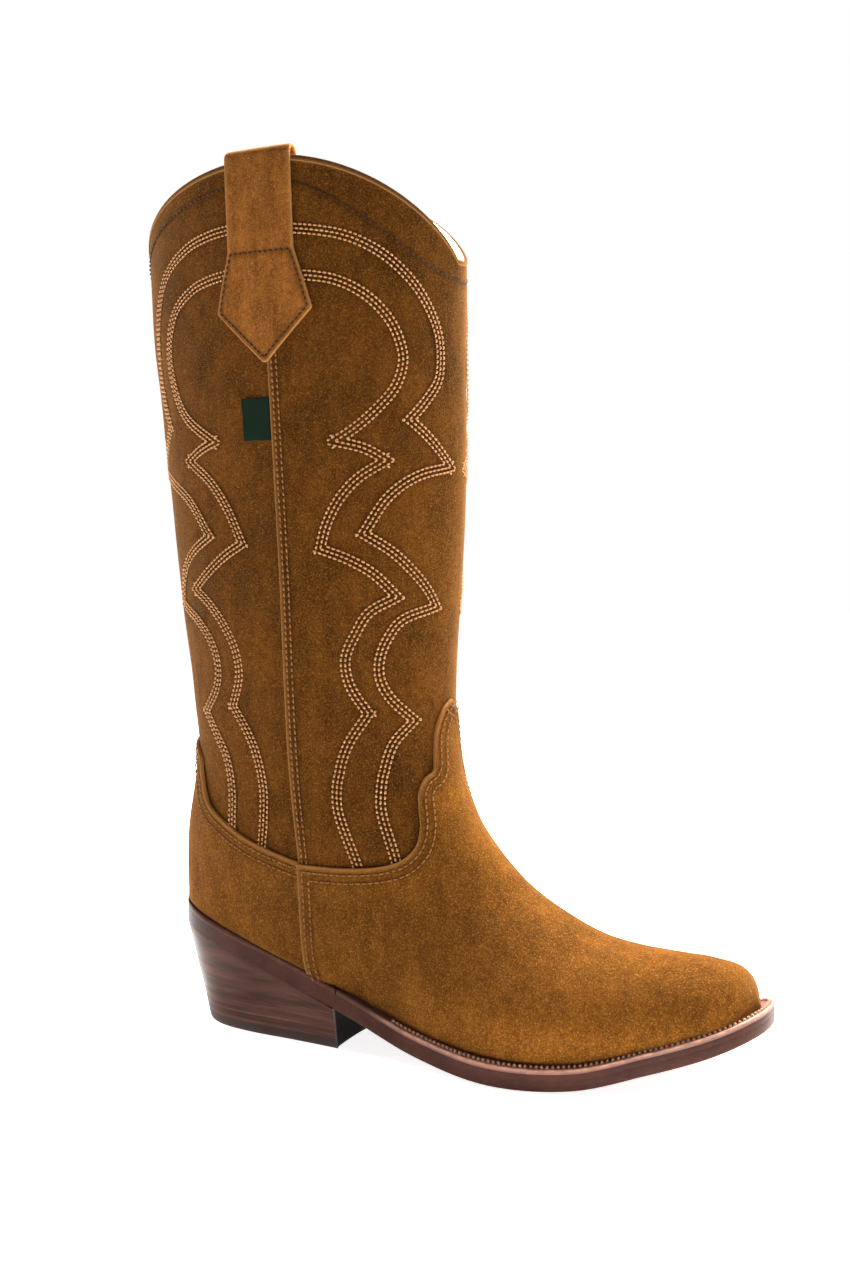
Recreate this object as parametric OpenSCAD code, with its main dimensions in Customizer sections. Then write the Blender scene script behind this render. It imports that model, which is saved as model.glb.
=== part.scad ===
// Tall pointed-toe cowboy boot, right foot, built up from leather layers.
// Toe points to +X, outer side of the leg to -Y, top of the shaft to +Z.
// Millimetres. Every layer is an offset of one base surface, so neighbours stay clear.

/* [Height] */
// Height of the top edge at the side seams
peak_height = 386.5; // [370:0.5:392]
// Height of the dip at the front of the top edge
front_dip = 345; // [335:1:365]
// Height of the dip at the back of the top edge
back_dip = 347; // [330:1:365]

/* [Leather] */
// Thickness of the suede panels
suede = 1.6; // [1.2:0.1:1.8]
// Thickness of the lining leather
lining = 1.2; // [0.8:0.1:1.4]
// Clearance kept between two layers
gap = 0.3; // [0.25:0.05:0.4]

/* [Sole] */
// Length of the outsole
sole_length = 274; // [268:1:280]
// Thickness of the outsole
outsole_thick = 4.5; // [3.5:0.1:5]
// Thickness of the midsole
midsole_thick = 2.2; // [1.8:0.1:2.6]
// Thickness of the welt
welt_thick = 2; // [1.6:0.1:2.4]
// Width of the welt strip
welt_width = 9.5; // [8.5:0.5:10]

/* [Heel] */
// Distance of the heel breast from the back of the seat
breast = 94.5; // [86:0.5:98]
// Set-back of the heel's back edge at the ground
heel_rake = 13; // [8:1:16]
// Width of the heel at the ground, as a share of the seat width
heel_taper = 0.9; // [0.8:0.01:0.95]
// Thickness of the rubber top lift
rubber_thick = 4.5; // [4:0.1:5]
// Thickness of each level lift
lift_thick = 3.6; // [3.2:0.1:3.8]

/* [Trim] */
// Half width of the pull strap where it folds over the edge
strap_half = 16; // [13:0.5:18]
// Half width of the pull strap's pointed end
strap_flare = 23.5; // [18:0.5:25]
// Lowest point of the pull strap
strap_point = 299; // [292:1:305]
// Width of the side tag
tag_width = 14; // [10:1:18]
// Height of the side tag
tag_height = 19; // [12:1:24]

/* [Hidden] */
tiny = 0.001;
ply = 0.2;
seat_level = outsole_thick + midsole_thick + welt_thick + 3 * ply;
centre_x = 126.35;

// One row per station down the boot: side point x and z, half width on the
// outer and inner side, centre offset, front point x and z, side bulge.
BODY = [
  [67, 400, 50, 50, 0, 136, 400, 1],
  [70, 330, 49, 49, 0, 137, 330, 1],
  [73, 265, 47, 47, 0, 137.4, 265, 1],
  [75, 205, 44, 44, 0, 135, 205, 1],
  [75, 155, 40, 40, 0, 132.5, 156, 1],
  [76, 118, 37.5, 37.5, 0, 134, 123, 1],
  [79, 78, 34, 34, 0, 142, 101, 1.02],
  [81, 31.7, 28.5, 28.5, 0, 152, 87, 1.1],
  [97, 26.5, 26.5, 26, 0.5, 162, 76, 1.16],
  [120, 19, 28, 26, 1, 172, 67, 1.18],
  [146, 12.6, 33.5, 30, 2, 184, 59, 1.12],
  [174, 9.7, 38, 34, 4, 200, 51, 1.06],
  [200, 9.8, 35, 33.5, 6, 216, 47.5, 1.04],
  [226, 15.3, 28.5, 27.5, 8.4, 233.5, 46, 1.03],
  [247, 21.5, 21.5, 22, 10.3, 249.5, 44.9, 1.02],
  [260.5, 26.3, 14.5, 15, 11.8, 260.8, 41.8, 1],
  [265.7, 28.5, 0.5, 0.5, 12.5, 265.7, 31, 1]];
// Back of the same stations: back point x and z, roundness.
BACK = [
  [-23, 400, 2],
  [-20.3, 330, 2],
  [-11.9, 265, 2],
  [-5, 205, 2],
  [2.3, 155, 2],
  [6.5, 120, 2.1],
  [2.2, 86, 2.35],
  [2.5, 55.5, 2.8]];
// Sole outline: outer half width, inner half width, centre offset, height of the underside.
SOLE = [
  [1, 1, 0, 46],
  [15.5, 15.5, 0, 44.8],
  [26, 26, 0, 41],
  [30.5, 30.5, 0, 35],
  [31.5, 31, 0, 26.5],
  [34, 31, 0.5, 16],
  [40.5, 36.5, 2, 5.2],
  [47.5, 42, 4, 0.65],
  [42.5, 41, 6.5, 1.2],
  [33.5, 33.5, 9, 8.5],
  [25, 26, 11, 15.3],
  [15.5, 17, 12.5, 21.2],
  [1, 1, 13.5, 23.8]];
// Edges of the uppers, as station against the share of the way round.
VAMP_TOP = [
  [0, 4.1], [0.1, 4.22], [0.17, 4.5], [0.2, 5], [0.28, 5.15], [0.34, 5.4], [0.37, 5.9],
  [0.41, 6.2], [0.47, 6.33], [0.55, 6.33], [0.7, 6.2], [0.85, 6.06], [1, 5.93]];
PANEL_FOOT = [
  [0, 4.5], [0.08, 5], [0.2, 6], [0.3, 6.4], [0.45, 6.6], [0.7, 6.45], [1, 6.18]];
COUNTER_TOP = [
  [0, 4.65], [0.34, 4.86], [0.41, 5.12], [0.51, 5.46], [0.65, 5.65], [0.81, 5.81], [1, 5.93]];

function hermite(a, b, c, d, f) =
  0.5 * (2 * b + (c - a) * f + (2 * a - 5 * b + 4 * c - d) * f * f
    + (3 * b - a - 3 * c + d) * f * f * f);
function row_at(tab, t) =
  let (n = len(tab) - 1)
  let (i = max(0, min(floor(t), n - 1)))
  let (b = tab[i])
  let (c = tab[i + 1])
  let (a = i > 0 ? tab[i - 1] : 2 * b - c)
  let (d = i < n - 1 ? tab[i + 2] : 2 * c - b)
  hermite(a, b, c, d, t - i);
function mix(a, b, f) = a + (b - a) * f;

// Sole outline and the height of its underside.
function sole_x(s) = sole_length * (1 - cos(180 * s)) / 2;
function sole_s(x) = acos(1 - 2 * min(max(x, 0.1), sole_length - 0.1) / sole_length) / 180;
function under_z(x) = row_at(SOLE, 12 * sole_s(x))[3];
function seat_z(x) = under_z(x) + seat_level;
function onto_seat(p) = [p[0], p[1], max(p[2], seat_z(p[0]))];

// Base surface: front half and back half, meeting at the side seams.
function front_base(t, p) =
  let (c = row_at(BODY, t))
  let (low = -acos(1 / max(c[7], 1)))
  let (turn = low + (90 - low) * (1 - abs(p)))
  let (s = (sin(turn) - sin(low)) / (1 - sin(low)))
  let (w = (p < 0 ? c[2] : c[3]) * max(c[7], 1) * max(cos(turn), 0))
  [mix(c[0], c[5], s), c[4] + sign(p) * w, mix(c[1], c[6], s)];
function back_base(t, p) =
  let (c = row_at(BODY, t))
  let (b = row_at(BACK, t))
  let (k = pow(max(cos(90 * abs(p)), 0), 2 / b[2]))
  let (w = (p < 0 ? c[2] : c[3]) * pow(sin(90 * abs(p)), 2 / b[2]))
  [mix(c[0], b[0], k), c[4] + sign(p) * w, mix(c[1], b[1], k)];
function unit(v) = v / norm(v);
function front_skin(t, p, d) =
  let (u = min(max(t, 0.002), 15.95))
  let (along = front_base(u + tiny, p) - front_base(u - tiny, p))
  let (round = front_base(u, min(p + tiny, 1)) - front_base(u, max(p - tiny, -1)))
  front_base(u, p) + d * unit(cross(along, round));
function back_skin(t, p, d) =
  let (u = min(max(t, 0.002), 6.998))
  let (along = back_base(u + tiny, p) - back_base(u - tiny, p))
  let (round = back_base(u, min(p + tiny, 1)) - back_base(u, max(p - tiny, -1)))
  back_base(u, p) - d * unit(cross(along, round));
// Past the seam the back half runs on under the front half.
function wrap_skin(t, p, d) =
  abs(p) <= 1 ? back_skin(t, p, d) : front_skin(t, sign(p) * (2 - abs(p)), d);

// Layer numbers count outwards; the lining is below layer 0.
function layer_out(k) = k * (suede + gap);
function layer_in(k) = k * (suede + gap) - suede;
lining_out = -suede - gap;
lining_in = lining_out - lining;

function shaft_t(z) = lookup(z, [[205, 3], [265, 2], [330, 1], [400, 0]]);
// The front edge drops off a little sooner on the inner side.
function front_top(p) =
  shaft_t(front_dip + (peak_height - front_dip) * pow(sin(90 * abs(p)), p > 0 ? 2.2 : 1));
function back_top(p) = shaft_t(back_dip + (peak_height - back_dip) * sin(90 * min(abs(p), 1)));

// A sheet of leather: outer and inner grids closed round the edge.
function sheet_faces(m, n) =
  let (k = (m + 1) * (n + 1))
  let (w = n + 1)
  concat(
    [for (i = [0:m - 1]) for (j = [0:n - 1]) [i * w + j, (i + 1) * w + j, (i + 1) * w + j + 1]],
    [for (i = [0:m - 1]) for (j = [0:n - 1]) [i * w + j, (i + 1) * w + j + 1, i * w + j + 1]],
    [for (i = [0:m - 1]) for (j = [0:n - 1])
      [k + i * w + j, k + (i + 1) * w + j + 1, k + (i + 1) * w + j]],
    [for (i = [0:m - 1]) for (j = [0:n - 1])
      [k + i * w + j, k + i * w + j + 1, k + (i + 1) * w + j + 1]],
    [for (j = [0:n - 1]) [j, j + 1, k + j + 1]],
    [for (j = [0:n - 1]) [j, k + j + 1, k + j]],
    [for (i = [0:m - 1]) [(i + 1) * w, i * w, k + i * w]],
    [for (i = [0:m - 1]) [(i + 1) * w, k + i * w, k + (i + 1) * w]],
    [for (i = [0:m - 1]) [i * w + n, (i + 1) * w + n, k + (i + 1) * w + n]],
    [for (i = [0:m - 1]) [i * w + n, k + (i + 1) * w + n, k + i * w + n]]);
function end_faces(m, n) =
  let (k = (m + 1) * (n + 1))
  let (e = m * (n + 1))
  concat(
    [for (j = [0:n - 1]) [e + j + 1, e + j, k + e + j]],
    [for (j = [0:n - 1]) [e + j + 1, k + e + j, k + e + j + 1]]);
// The same edge drawn together into one point at the toe.
function toe_faces(m, n) =
  let (k = (m + 1) * (n + 1))
  let (e = m * (n + 1))
  let (a = 2 * k)
  let (b = 2 * k + 1)
  concat(
    [for (j = [0:n - 1]) [e + j + 1, e + j, a]],
    [for (j = [0:n - 1]) [k + e + j, k + e + j + 1, b]],
    [[a, e, k + e]],
    [[a, k + e, b]],
    [[e + n, a, b]],
    [[e + n, b, k + e + n]]);
function turned(f, yes) = [for (v = f) yes ? [for (i = [len(v) - 1:-1:0]) v[i]] : v];

module sheet(outer, inner, m, n, flip = false)
  translate([-centre_x, 0, 0]) polyhedron(
    points = concat(outer, inner),
    faces = turned(concat(sheet_faces(m, n), end_faces(m, n)), flip),
    convexity = 6);
module toe_sheet(outer, inner, tips, m, n)
  translate([-centre_x, 0, 0]) polyhedron(
    points = concat(outer, inner, tips),
    faces = concat(sheet_faces(m, n), toe_faces(m, n)),
    convexity = 6);

// Grid helpers: rows run between two edges, columns between two sides.
function front_grid(m, n, side, top, foot, d) =
  [for (i = [0:m]) for (j = [0:n])
    let (p = mix(-side, side, j / n))
    onto_seat(front_skin(mix(top(p), foot(p), i / m), p, d))];
function back_grid(m, n, side, top, foot, d) =
  [for (i = [0:m]) for (j = [0:n])
    let (q = mix(-1, 1, j / n))
    let (t = mix(top(q), foot(q), i / m))
    onto_seat(wrap_skin(t, q * side(t), d))];
// Foot pieces widen to the feather edge once they are past the side seam.
function foot_side(t) = t < 7.5 ? 0.86 : min(1, 0.86 + (t - 7.5) * 0.5);
function foot_grid(m, n, top, foot, power, d, full) =
  [for (i = [0:m]) for (j = [0:n])
    let (q = mix(-1, 1, j / n))
    let (t = mix(top(q), foot(q), 1 - pow(1 - i / (m + 1), power)))
    onto_seat(front_skin(t, q * (full ? 1 : foot_side(t)), d))];
function toe_tips(a, b) =
  [[265.7 + a, 12.5, seat_z(265.7 + a)], [265.7 + b, 12.5, seat_z(265.7 + b)]];

// A flat layer lofted from back to toe; each station holds the
// underside x, two y, z and the upper side x, two y, z.
module pad(st)
  translate([-centre_x, 0, 0]) polyhedron(
    points = concat(
      [for (q = st) [q[0], q[1], q[3]]],
      [for (q = st) [q[0], q[2], q[3]]],
      [for (q = st) [q[4], q[5], q[7]]],
      [for (q = st) [q[4], q[6], q[7]]]),
    faces = let (n = len(st)) let (e = n - 1) concat(
      [for (i = [0:n - 2]) [i, n + i, n + i + 1, i + 1]],
      [for (i = [0:n - 2]) [2 * n + i, 2 * n + i + 1, 3 * n + i + 1, 3 * n + i]],
      [for (i = [0:n - 2]) [i, i + 1, 2 * n + i + 1]],
      [for (i = [0:n - 2]) [i, 2 * n + i + 1, 2 * n + i]],
      [for (i = [0:n - 2]) [n + i, 3 * n + i, 3 * n + i + 1]],
      [for (i = [0:n - 2]) [n + i, 3 * n + i + 1, n + i + 1]],
      [[0, 2 * n, 3 * n, n]],
      [[e, n + e, 3 * n + e, 2 * n + e]]),
    convexity = 4);
function sole_station(s, low, high, inset = 0) =
  let (q = row_at(SOLE, 12 * s))
  let (x = sole_x(s))
  let (a = q[2] - q[0] + inset)
  let (b = q[2] + q[1] - inset)
  [x, a, b, q[3] + low, x, a, b, q[3] + high];
module sole_layer(low, high)
  pad([for (i = [0:40]) sole_station(i / 40, low, high)]);

// A strip that follows the sole outline, level with its own x.
function rim(s, side) =
  let (q = row_at(SOLE, 12 * s))
  [sole_x(s), side < 0 ? q[2] - q[0] : q[2] + q[1]];
function rim_inset(s, side, d) =
  let (a = rim(min(s + tiny, 1), side))
  let (b = rim(max(s - tiny, 0), side))
  let (v = unit(a - b))
  rim(s, side) + d * (side < 0 ? [-v[1], v[0]] : [v[1], -v[0]]);
function raised(p, h) = [p[0], p[1], under_z(p[0]) + h];
module rim_strip(path, wide, low, high) {
  n = len(path) - 1;
  out = [for (q = path) rim(q[0], q[1])];
  in = [for (q = path) rim_inset(q[0], q[1], wide)];
  ring = [for (i = [0:n]) each [
    raised(out[i], low), raised(out[i], high), raised(in[i], high), raised(in[i], low)]];
  translate([-centre_x, 0, 0]) polyhedron(
    points = ring,
    faces = concat(
      [for (i = [0:n - 1]) for (k = [0:3]) [4 * i + k, 4 * i + (k + 1) % 4, 4 * i + 4 + (k + 1) % 4]],
      [for (i = [0:n - 1]) for (k = [0:3]) [4 * i + k, 4 * i + 4 + (k + 1) % 4, 4 * i + 4 + k]],
      [[3, 2, 1, 0]],
      [[4 * n, 4 * n + 1, 4 * n + 2, 4 * n + 3]]),
    convexity = 6);
}

// Heel outline at a level: straight lines from the ground outline to the seat outline.
breast_s = sole_s(breast);
function heel_half(s, z) =
  let (q = row_at(SOLE, 12 * s))
  let (x = sole_x(s))
  let (f = z / (q[3] - ply))
  [mix(heel_rake + x * (breast - heel_rake) / breast, x, f), mix(heel_taper, 1, f) * q[0]];
function heel_station(s, low, high) =
  let (a = heel_half(s, low))
  let (b = heel_half(s, high))
  [a[0], -a[1], a[1], low, b[0], -b[1], b[1], high];
module heel_layer(low, high)
  pad([for (i = [0:16]) heel_station(breast_s * i / 16, low(i), high(i))]);
lift_a = rubber_thick + ply;
lift_b = lift_a + lift_thick + ply;
lift_c = lift_b + lift_thick + ply;
wedge_low = lift_c + lift_thick + ply;
function heel_under(i) = row_at(SOLE, 12 * breast_s * i / 16)[3] - ply;
function wedge_mid(i) = mix(wedge_low, heel_under(i), 0.5);

// Points beside the side seam: a runs forward, negative a runs back.
function by_seam(side, a, z, d) =
  a >= 0
    ? front_skin(shaft_t(z), side * (1 - a / 107), d)
    : back_skin(shaft_t(z), side * (1 + a / 138), d);

module shaft_front_panel() {
  color("#8a5526")
    sheet(
      front_grid(18, 24, 1, function(p) front_top(p), function(p) lookup(abs(p), PANEL_FOOT), layer_out(1)),
      front_grid(18, 24, 1, function(p) front_top(p), function(p) lookup(abs(p), PANEL_FOOT), layer_in(1)),
      18, 24);
}

module shaft_back_panel() {
  top = function(p) back_top(p * 1.13);
  foot = function(p) 5.9 + 0.3 * abs(p);
  side = function(t) 1.13;
  color("#835024")
    sheet(
      back_grid(16, 24, side, top, foot, layer_out(0)),
      back_grid(16, 24, side, top, foot, layer_in(0)),
      16, 24, true);
}

module vamp() {
  top = function(p) lookup(abs(p), VAMP_TOP);
  foot = function(p) 15.95;
  color("#8f5828")
    toe_sheet(
      foot_grid(24, 28, top, foot, 1.3, layer_out(2), true),
      foot_grid(24, 28, top, foot, 1.3, layer_in(2), true),
      toe_tips(layer_out(2), layer_in(2)), 24, 28);
}

module counter() {
  top = function(p) lookup(abs(p), COUNTER_TOP);
  foot = function(p) 6.998;
  side = function(t) t < 6.4 ? 0.992 : 1.12;
  color("#8a5425")
    sheet(
      back_grid(9, 22, side, top, foot, layer_out(1)),
      back_grid(9, 22, side, top, foot, layer_in(1)),
      9, 22, true);
}

module shaft_front_interlining() {
  top = function(p) front_top(p) + 0.03;
  foot = function(p) lookup(abs(p), PANEL_FOOT) - 0.06;
  color("#d8cbb0")
    sheet(
      front_grid(16, 20, 0.85, top, foot, layer_out(0)),
      front_grid(16, 20, 0.85, top, foot, layer_in(0)),
      16, 20);
}

module shaft_front_lining() {
  top = function(p) front_top(p) + 0.02;
  foot = function(p) lookup(abs(p), PANEL_FOOT);
  color("#d9a866")
    sheet(
      front_grid(16, 24, 0.988, top, foot, lining_out),
      front_grid(16, 24, 0.988, top, foot, lining_in),
      16, 24);
}

module shaft_back_lining() {
  top = function(p) back_top(p) + 0.02;
  foot = function(p) 6.998;
  side = function(t) 0.988;
  color("#d6a563")
    sheet(
      back_grid(20, 22, side, top, foot, lining_out),
      back_grid(20, 22, side, top, foot, lining_in),
      20, 22, true);
}

module vamp_interlining() {
  top = function(p) lookup(abs(p), PANEL_FOOT) + 0.22;
  foot = function(p) 13.1;
  color("#d8cbb0")
    sheet(
      foot_grid(14, 24, top, foot, 1, layer_out(1) - 0.15, false),
      foot_grid(14, 24, top, foot, 1, layer_in(1) + 0.5, false),
      14, 24);
}

module toe_puff() {
  top = function(p) 13.2;
  foot = function(p) 15.95;
  color("#6b4a33")
    toe_sheet(
      foot_grid(7, 20, top, foot, 1.3, layer_out(1), true),
      foot_grid(7, 20, top, foot, 1.3, layer_in(1) + 0.3, true),
      toe_tips(layer_out(1), layer_in(1) + 0.3), 7, 20);
}

module vamp_lining() {
  top = function(p) lookup(abs(p), PANEL_FOOT) + 0.22;
  foot = function(p) 15.95;
  color("#d4a35f")
    toe_sheet(
      foot_grid(20, 24, top, foot, 1.3, gap, false),
      foot_grid(20, 24, top, foot, 1.3, gap - lining, false),
      toe_tips(gap, gap - lining), 20, 24);
}

module counter_stiffener() {
  top = function(p) 6 + 0.3 * abs(p);
  foot = function(p) 6.998;
  side = function(t) 1.1;
  color("#6b4a33")
    sheet(
      back_grid(5, 22, side, top, foot, layer_out(0)),
      back_grid(5, 22, side, top, foot, layer_in(0)),
      5, 22, true);
}

// Floor of the shoe, inside the lining: heel stations then foot stations.
function floor_edge(i, inset) =
  i <= 9
    ? let (p = back_base(6.998, i / 9.5)) let (c = row_at(BODY, 7)) let (w = p[1] - inset - 2.4)
      [p[0] + (i == 0 ? 5 : 3) + inset / 2, -max(w, 3), max(w, 3)]
    : let (t = 7 + (i - 9) * 0.4)
      let (c = row_at(BODY, t))
      let (d = inset + 0.6 + 2.2 * max(0, t - 13.6) + 1.6 * max(0, 8 - t))
      [c[0], c[4] - c[2] + d, c[4] + c[3] - d];
module floor_layer(low, high, inset)
  pad([for (i = [0:29])
    let (e = floor_edge(i, inset))
    [e[0], e[1], e[2], seat_z(e[0]) + low, e[0], e[1], e[2], seat_z(e[0]) + high]]);

module insole_board() {
  color("#b58a5c") floor_layer(0, 2.2, 1.2);
}

module sock_liner() {
  color("#c99a5e") floor_layer(2.4, 3.6, 1.6);
}

module shank() {
  color("#9aa0a6")
    pad([for (i = [0:12])
      let (x = 24 + i * 8)
      let (z = under_z(x) + outsole_thick + midsole_thick + 2 * ply)
      let (w = 6 - abs(i - 6) * 0.3)
      [x, -w, w, z, x, -w, w, z + welt_thick]]);
}

module bottom_filler() {
  low = outsole_thick + midsole_thick + 2 * ply;
  color("#a98658")
    pad([for (i = [0:14])
      let (s = 0.48 + i * 0.026)
      sole_station(s, low, low + welt_thick, welt_width + 1 + 14 * max(0, s - 0.66))]);
}

module welt() {
  low = outsole_thick + midsole_thick + 2 * ply;
  path = concat(
    [for (i = [0:24]) [mix(breast_s + 0.01, 1, i / 24), -1]],
    [for (i = [24:-1:0]) [mix(breast_s + 0.01, 1, i / 24), 1]]);
  color("#8f5f42") rim_strip(path, welt_width, low, low + welt_thick);
}

module heel_rand() {
  low = outsole_thick + midsole_thick + 2 * ply;
  path = concat(
    [for (i = [12:-1:0]) [breast_s * i / 12, 1]],
    [for (i = [0:12]) [breast_s * i / 12, -1]]);
  color("#5a3a2c") rim_strip(path, welt_width - 1, low, low + welt_thick);
}

module midsole() {
  low = outsole_thick + ply;
  color("#6a4232") sole_layer(low, low + midsole_thick);
}

module outsole() {
  color("#5c3a2e") sole_layer(0, outsole_thick);
}

module heel_wedge_upper() {
  color("#5a392c") heel_layer(function(i) wedge_mid(i) + ply / 2, function(i) heel_under(i));
}

module heel_wedge_lower() {
  color("#61402f") heel_layer(function(i) wedge_low, function(i) wedge_mid(i) - ply / 2);
}

module heel_lift_upper() {
  color("#6a4735") heel_layer(function(i) lift_c, function(i) lift_c + lift_thick);
}

module heel_lift_middle() {
  color("#63412f") heel_layer(function(i) lift_b, function(i) lift_b + lift_thick);
}

module heel_lift_lower() {
  color("#6d4a37") heel_layer(function(i) lift_a, function(i) lift_a + lift_thick);
}

module top_lift() {
  color("#3c2a22") heel_layer(function(i) 0, function(i) rubber_thick);
}

// Pull strap: pointed end, outer leg, fold over the top edge, inner leg.
fold_mid = (layer_out(2) + lining_in - gap - suede) / 2;
fold_out = layer_out(2) - fold_mid;
fold_in = fold_out - suede;
fold_z = peak_height + 0.7;
STRAP = concat(
  [for (i = [0:3])
    let (z = mix(strap_point, strap_point + 22, i / 3))
    [z, layer_out(2), z, layer_in(2), mix(0.8, strap_flare, i / 3)]],
  [for (i = [1:5])
    let (z = mix(strap_point + 22, fold_z, i / 5))
    [z, layer_out(2), z, layer_in(2), mix(strap_flare, strap_half, min(1, i / 2))]],
  [for (i = [1:5])
    let (a = i * 30)
    [fold_z + fold_out * sin(a), fold_mid + fold_out * cos(a),
      fold_z + fold_in * sin(a), fold_mid + fold_in * cos(a), strap_half]],
  [for (i = [0:3])
    let (z = fold_z - i * 13)
    [z, fold_mid - fold_out, z, fold_mid - fold_in, strap_half - 0.5]]);
module pull_strap(side) {
  m = len(STRAP) - 1;
  color("#8a5526")
    sheet(
      [for (q = STRAP) for (j = [0:8]) by_seam(side, q[4] * (j / 4 - 1), q[0], q[1])],
      [for (q = STRAP) for (j = [0:8]) by_seam(side, q[4] * (j / 4 - 1), q[2], q[3])],
      m, 8, side < 0);
}

module pull_strap_outer() {
  pull_strap(-1);
}

module pull_strap_inner() {
  pull_strap(1);
}

module side_tag() {
  z0 = 265;
  color("#1f4a38")
    sheet(
      [for (i = [0:2]) for (j = [0:4]) by_seam(-1, -0.6 - j * tag_width / 4, z0 + i * tag_height / 2, gap + 0.85)],
      [for (i = [0:2]) for (j = [0:4]) by_seam(-1, -0.6 - j * tag_width / 4, z0 + i * tag_height / 2, gap + 0.05)],
      2, 4, true);
}

shaft_front_panel();
shaft_back_panel();
vamp();
counter();
shaft_front_interlining();
shaft_front_lining();
shaft_back_lining();
vamp_interlining();
toe_puff();
vamp_lining();
counter_stiffener();
insole_board();
sock_liner();
shank();
bottom_filler();
welt();
heel_rand();
midsole();
outsole();
heel_wedge_upper();
heel_wedge_lower();
heel_lift_upper();
heel_lift_middle();
heel_lift_lower();
top_lift();
pull_strap_outer();
pull_strap_inner();
side_tag();
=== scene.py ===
# %% [markdown]
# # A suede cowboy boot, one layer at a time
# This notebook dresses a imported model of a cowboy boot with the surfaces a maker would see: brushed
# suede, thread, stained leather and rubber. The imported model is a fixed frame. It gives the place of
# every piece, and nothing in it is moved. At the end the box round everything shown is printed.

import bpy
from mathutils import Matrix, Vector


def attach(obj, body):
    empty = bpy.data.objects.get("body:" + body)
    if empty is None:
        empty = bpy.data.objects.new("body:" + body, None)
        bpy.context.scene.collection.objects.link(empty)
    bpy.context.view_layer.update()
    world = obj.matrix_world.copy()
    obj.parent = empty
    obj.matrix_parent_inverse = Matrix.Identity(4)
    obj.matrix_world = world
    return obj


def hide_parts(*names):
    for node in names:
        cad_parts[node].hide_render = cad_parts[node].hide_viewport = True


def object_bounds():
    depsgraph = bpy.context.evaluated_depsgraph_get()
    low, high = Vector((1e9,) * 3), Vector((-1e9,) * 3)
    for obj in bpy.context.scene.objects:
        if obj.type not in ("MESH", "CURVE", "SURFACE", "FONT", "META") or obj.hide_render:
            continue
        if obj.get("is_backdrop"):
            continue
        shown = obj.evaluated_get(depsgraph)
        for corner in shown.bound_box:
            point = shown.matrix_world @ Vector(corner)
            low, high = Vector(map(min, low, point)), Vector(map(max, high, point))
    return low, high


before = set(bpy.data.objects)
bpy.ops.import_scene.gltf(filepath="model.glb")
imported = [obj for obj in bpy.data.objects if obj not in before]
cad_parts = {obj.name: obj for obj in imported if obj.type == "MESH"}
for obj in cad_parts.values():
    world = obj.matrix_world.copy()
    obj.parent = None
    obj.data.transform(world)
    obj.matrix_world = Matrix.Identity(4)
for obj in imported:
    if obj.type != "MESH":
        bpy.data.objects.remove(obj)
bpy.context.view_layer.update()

# %% [markdown]
# Blender builds the meshes, numpy does the sums on whole grids at once, and a k-d tree finds the
# nearest stitch to a point of leather. The random generator has a fixed seed, so each run is the same.

# %% Tools
import math

import bpy
import numpy as np
from mathutils import kdtree

scene = bpy.context.scene
scene.view_settings.view_transform = "Standard"

# %% [markdown]
# ## The last
# A bootmaker builds on a last, a solid foot shape. Ours is two smooth surfaces in millimetres that meet
# at the side seams. Each row below is a station: the shaft from its top down, then the foot out to the
# toe. A smooth curve through the rows gives every station between them, which is why a few dozen numbers
# are enough for the whole shape.

# %% Stations of the last
# Side x, side z, half width outer, half width inner, centre offset, front x, front z, side bulge.
BODY = np.array([
    [67, 400, 50, 50, 0, 136, 400, 1],
    [70, 330, 49, 49, 0, 137, 330, 1],
    [73, 265, 47, 47, 0, 137.4, 265, 1],
    [75, 205, 44, 44, 0, 135, 205, 1],
    [75, 155, 40, 40, 0, 132.5, 156, 1],
    [76, 118, 37.5, 37.5, 0, 134, 123, 1],
    [79, 78, 34, 34, 0, 142, 101, 1.02],
    [81, 31.7, 28.5, 28.5, 0, 152, 87, 1.1],
    [97, 26.5, 26.5, 26, 0.5, 162, 76, 1.16],
    [120, 19, 28, 26, 1, 172, 67, 1.18],
    [146, 12.6, 33.5, 30, 2, 184, 59, 1.12],
    [174, 9.7, 38, 34, 4, 200, 51, 1.06],
    [200, 9.8, 35, 33.5, 6, 216, 47.5, 1.04],
    [226, 15.3, 28.5, 27.5, 8.4, 233.5, 46, 1.03],
    [247, 21.5, 21.5, 22, 10.3, 249.5, 44.9, 1.02],
    [260.5, 26.3, 14.5, 15, 11.8, 260.8, 41.8, 1],
    [265.7, 28.5, 0.5, 0.5, 12.5, 265.7, 31, 1],
])
# Back x, back z, roundness, for the first eight stations.
BACK = np.array([
    [-23, 400, 2],
    [-20.3, 330, 2],
    [-11.9, 265, 2],
    [-5, 205, 2],
    [2.3, 155, 2],
    [6.5, 120, 2.1],
    [2.2, 86, 2.35],
    [2.5, 55.5, 2.8],
])
# Sole: outer half width, inner half width, centre offset, height of the underside.
SOLE = np.array([
    [1, 1, 0, 46],
    [15.5, 15.5, 0, 44.8],
    [26, 26, 0, 41],
    [30.5, 30.5, 0, 35],
    [31.5, 31, 0, 26.5],
    [34, 31, 0.5, 16],
    [40.5, 36.5, 2, 5.2],
    [47.5, 42, 4, 0.65],
    [42.5, 41, 6.5, 1.2],
    [33.5, 33.5, 9, 8.5],
    [25, 26, 11, 15.3],
    [15.5, 17, 12.5, 21.2],
    [1, 1, 13.5, 23.8],
])
MILLIMETRE = 0.001
SOLE_LENGTH = 274
# Distance from the back of the sole to the frame's origin.
CENTRE_X = 126.35
# Thickness of sole and welt together, which the uppers stand on.
SEAT = 9.3
# The surfaces stop just short of their last rows, where they close up.
TOE_STATION = 15.95
HEEL_STATION = 6.998


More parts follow.
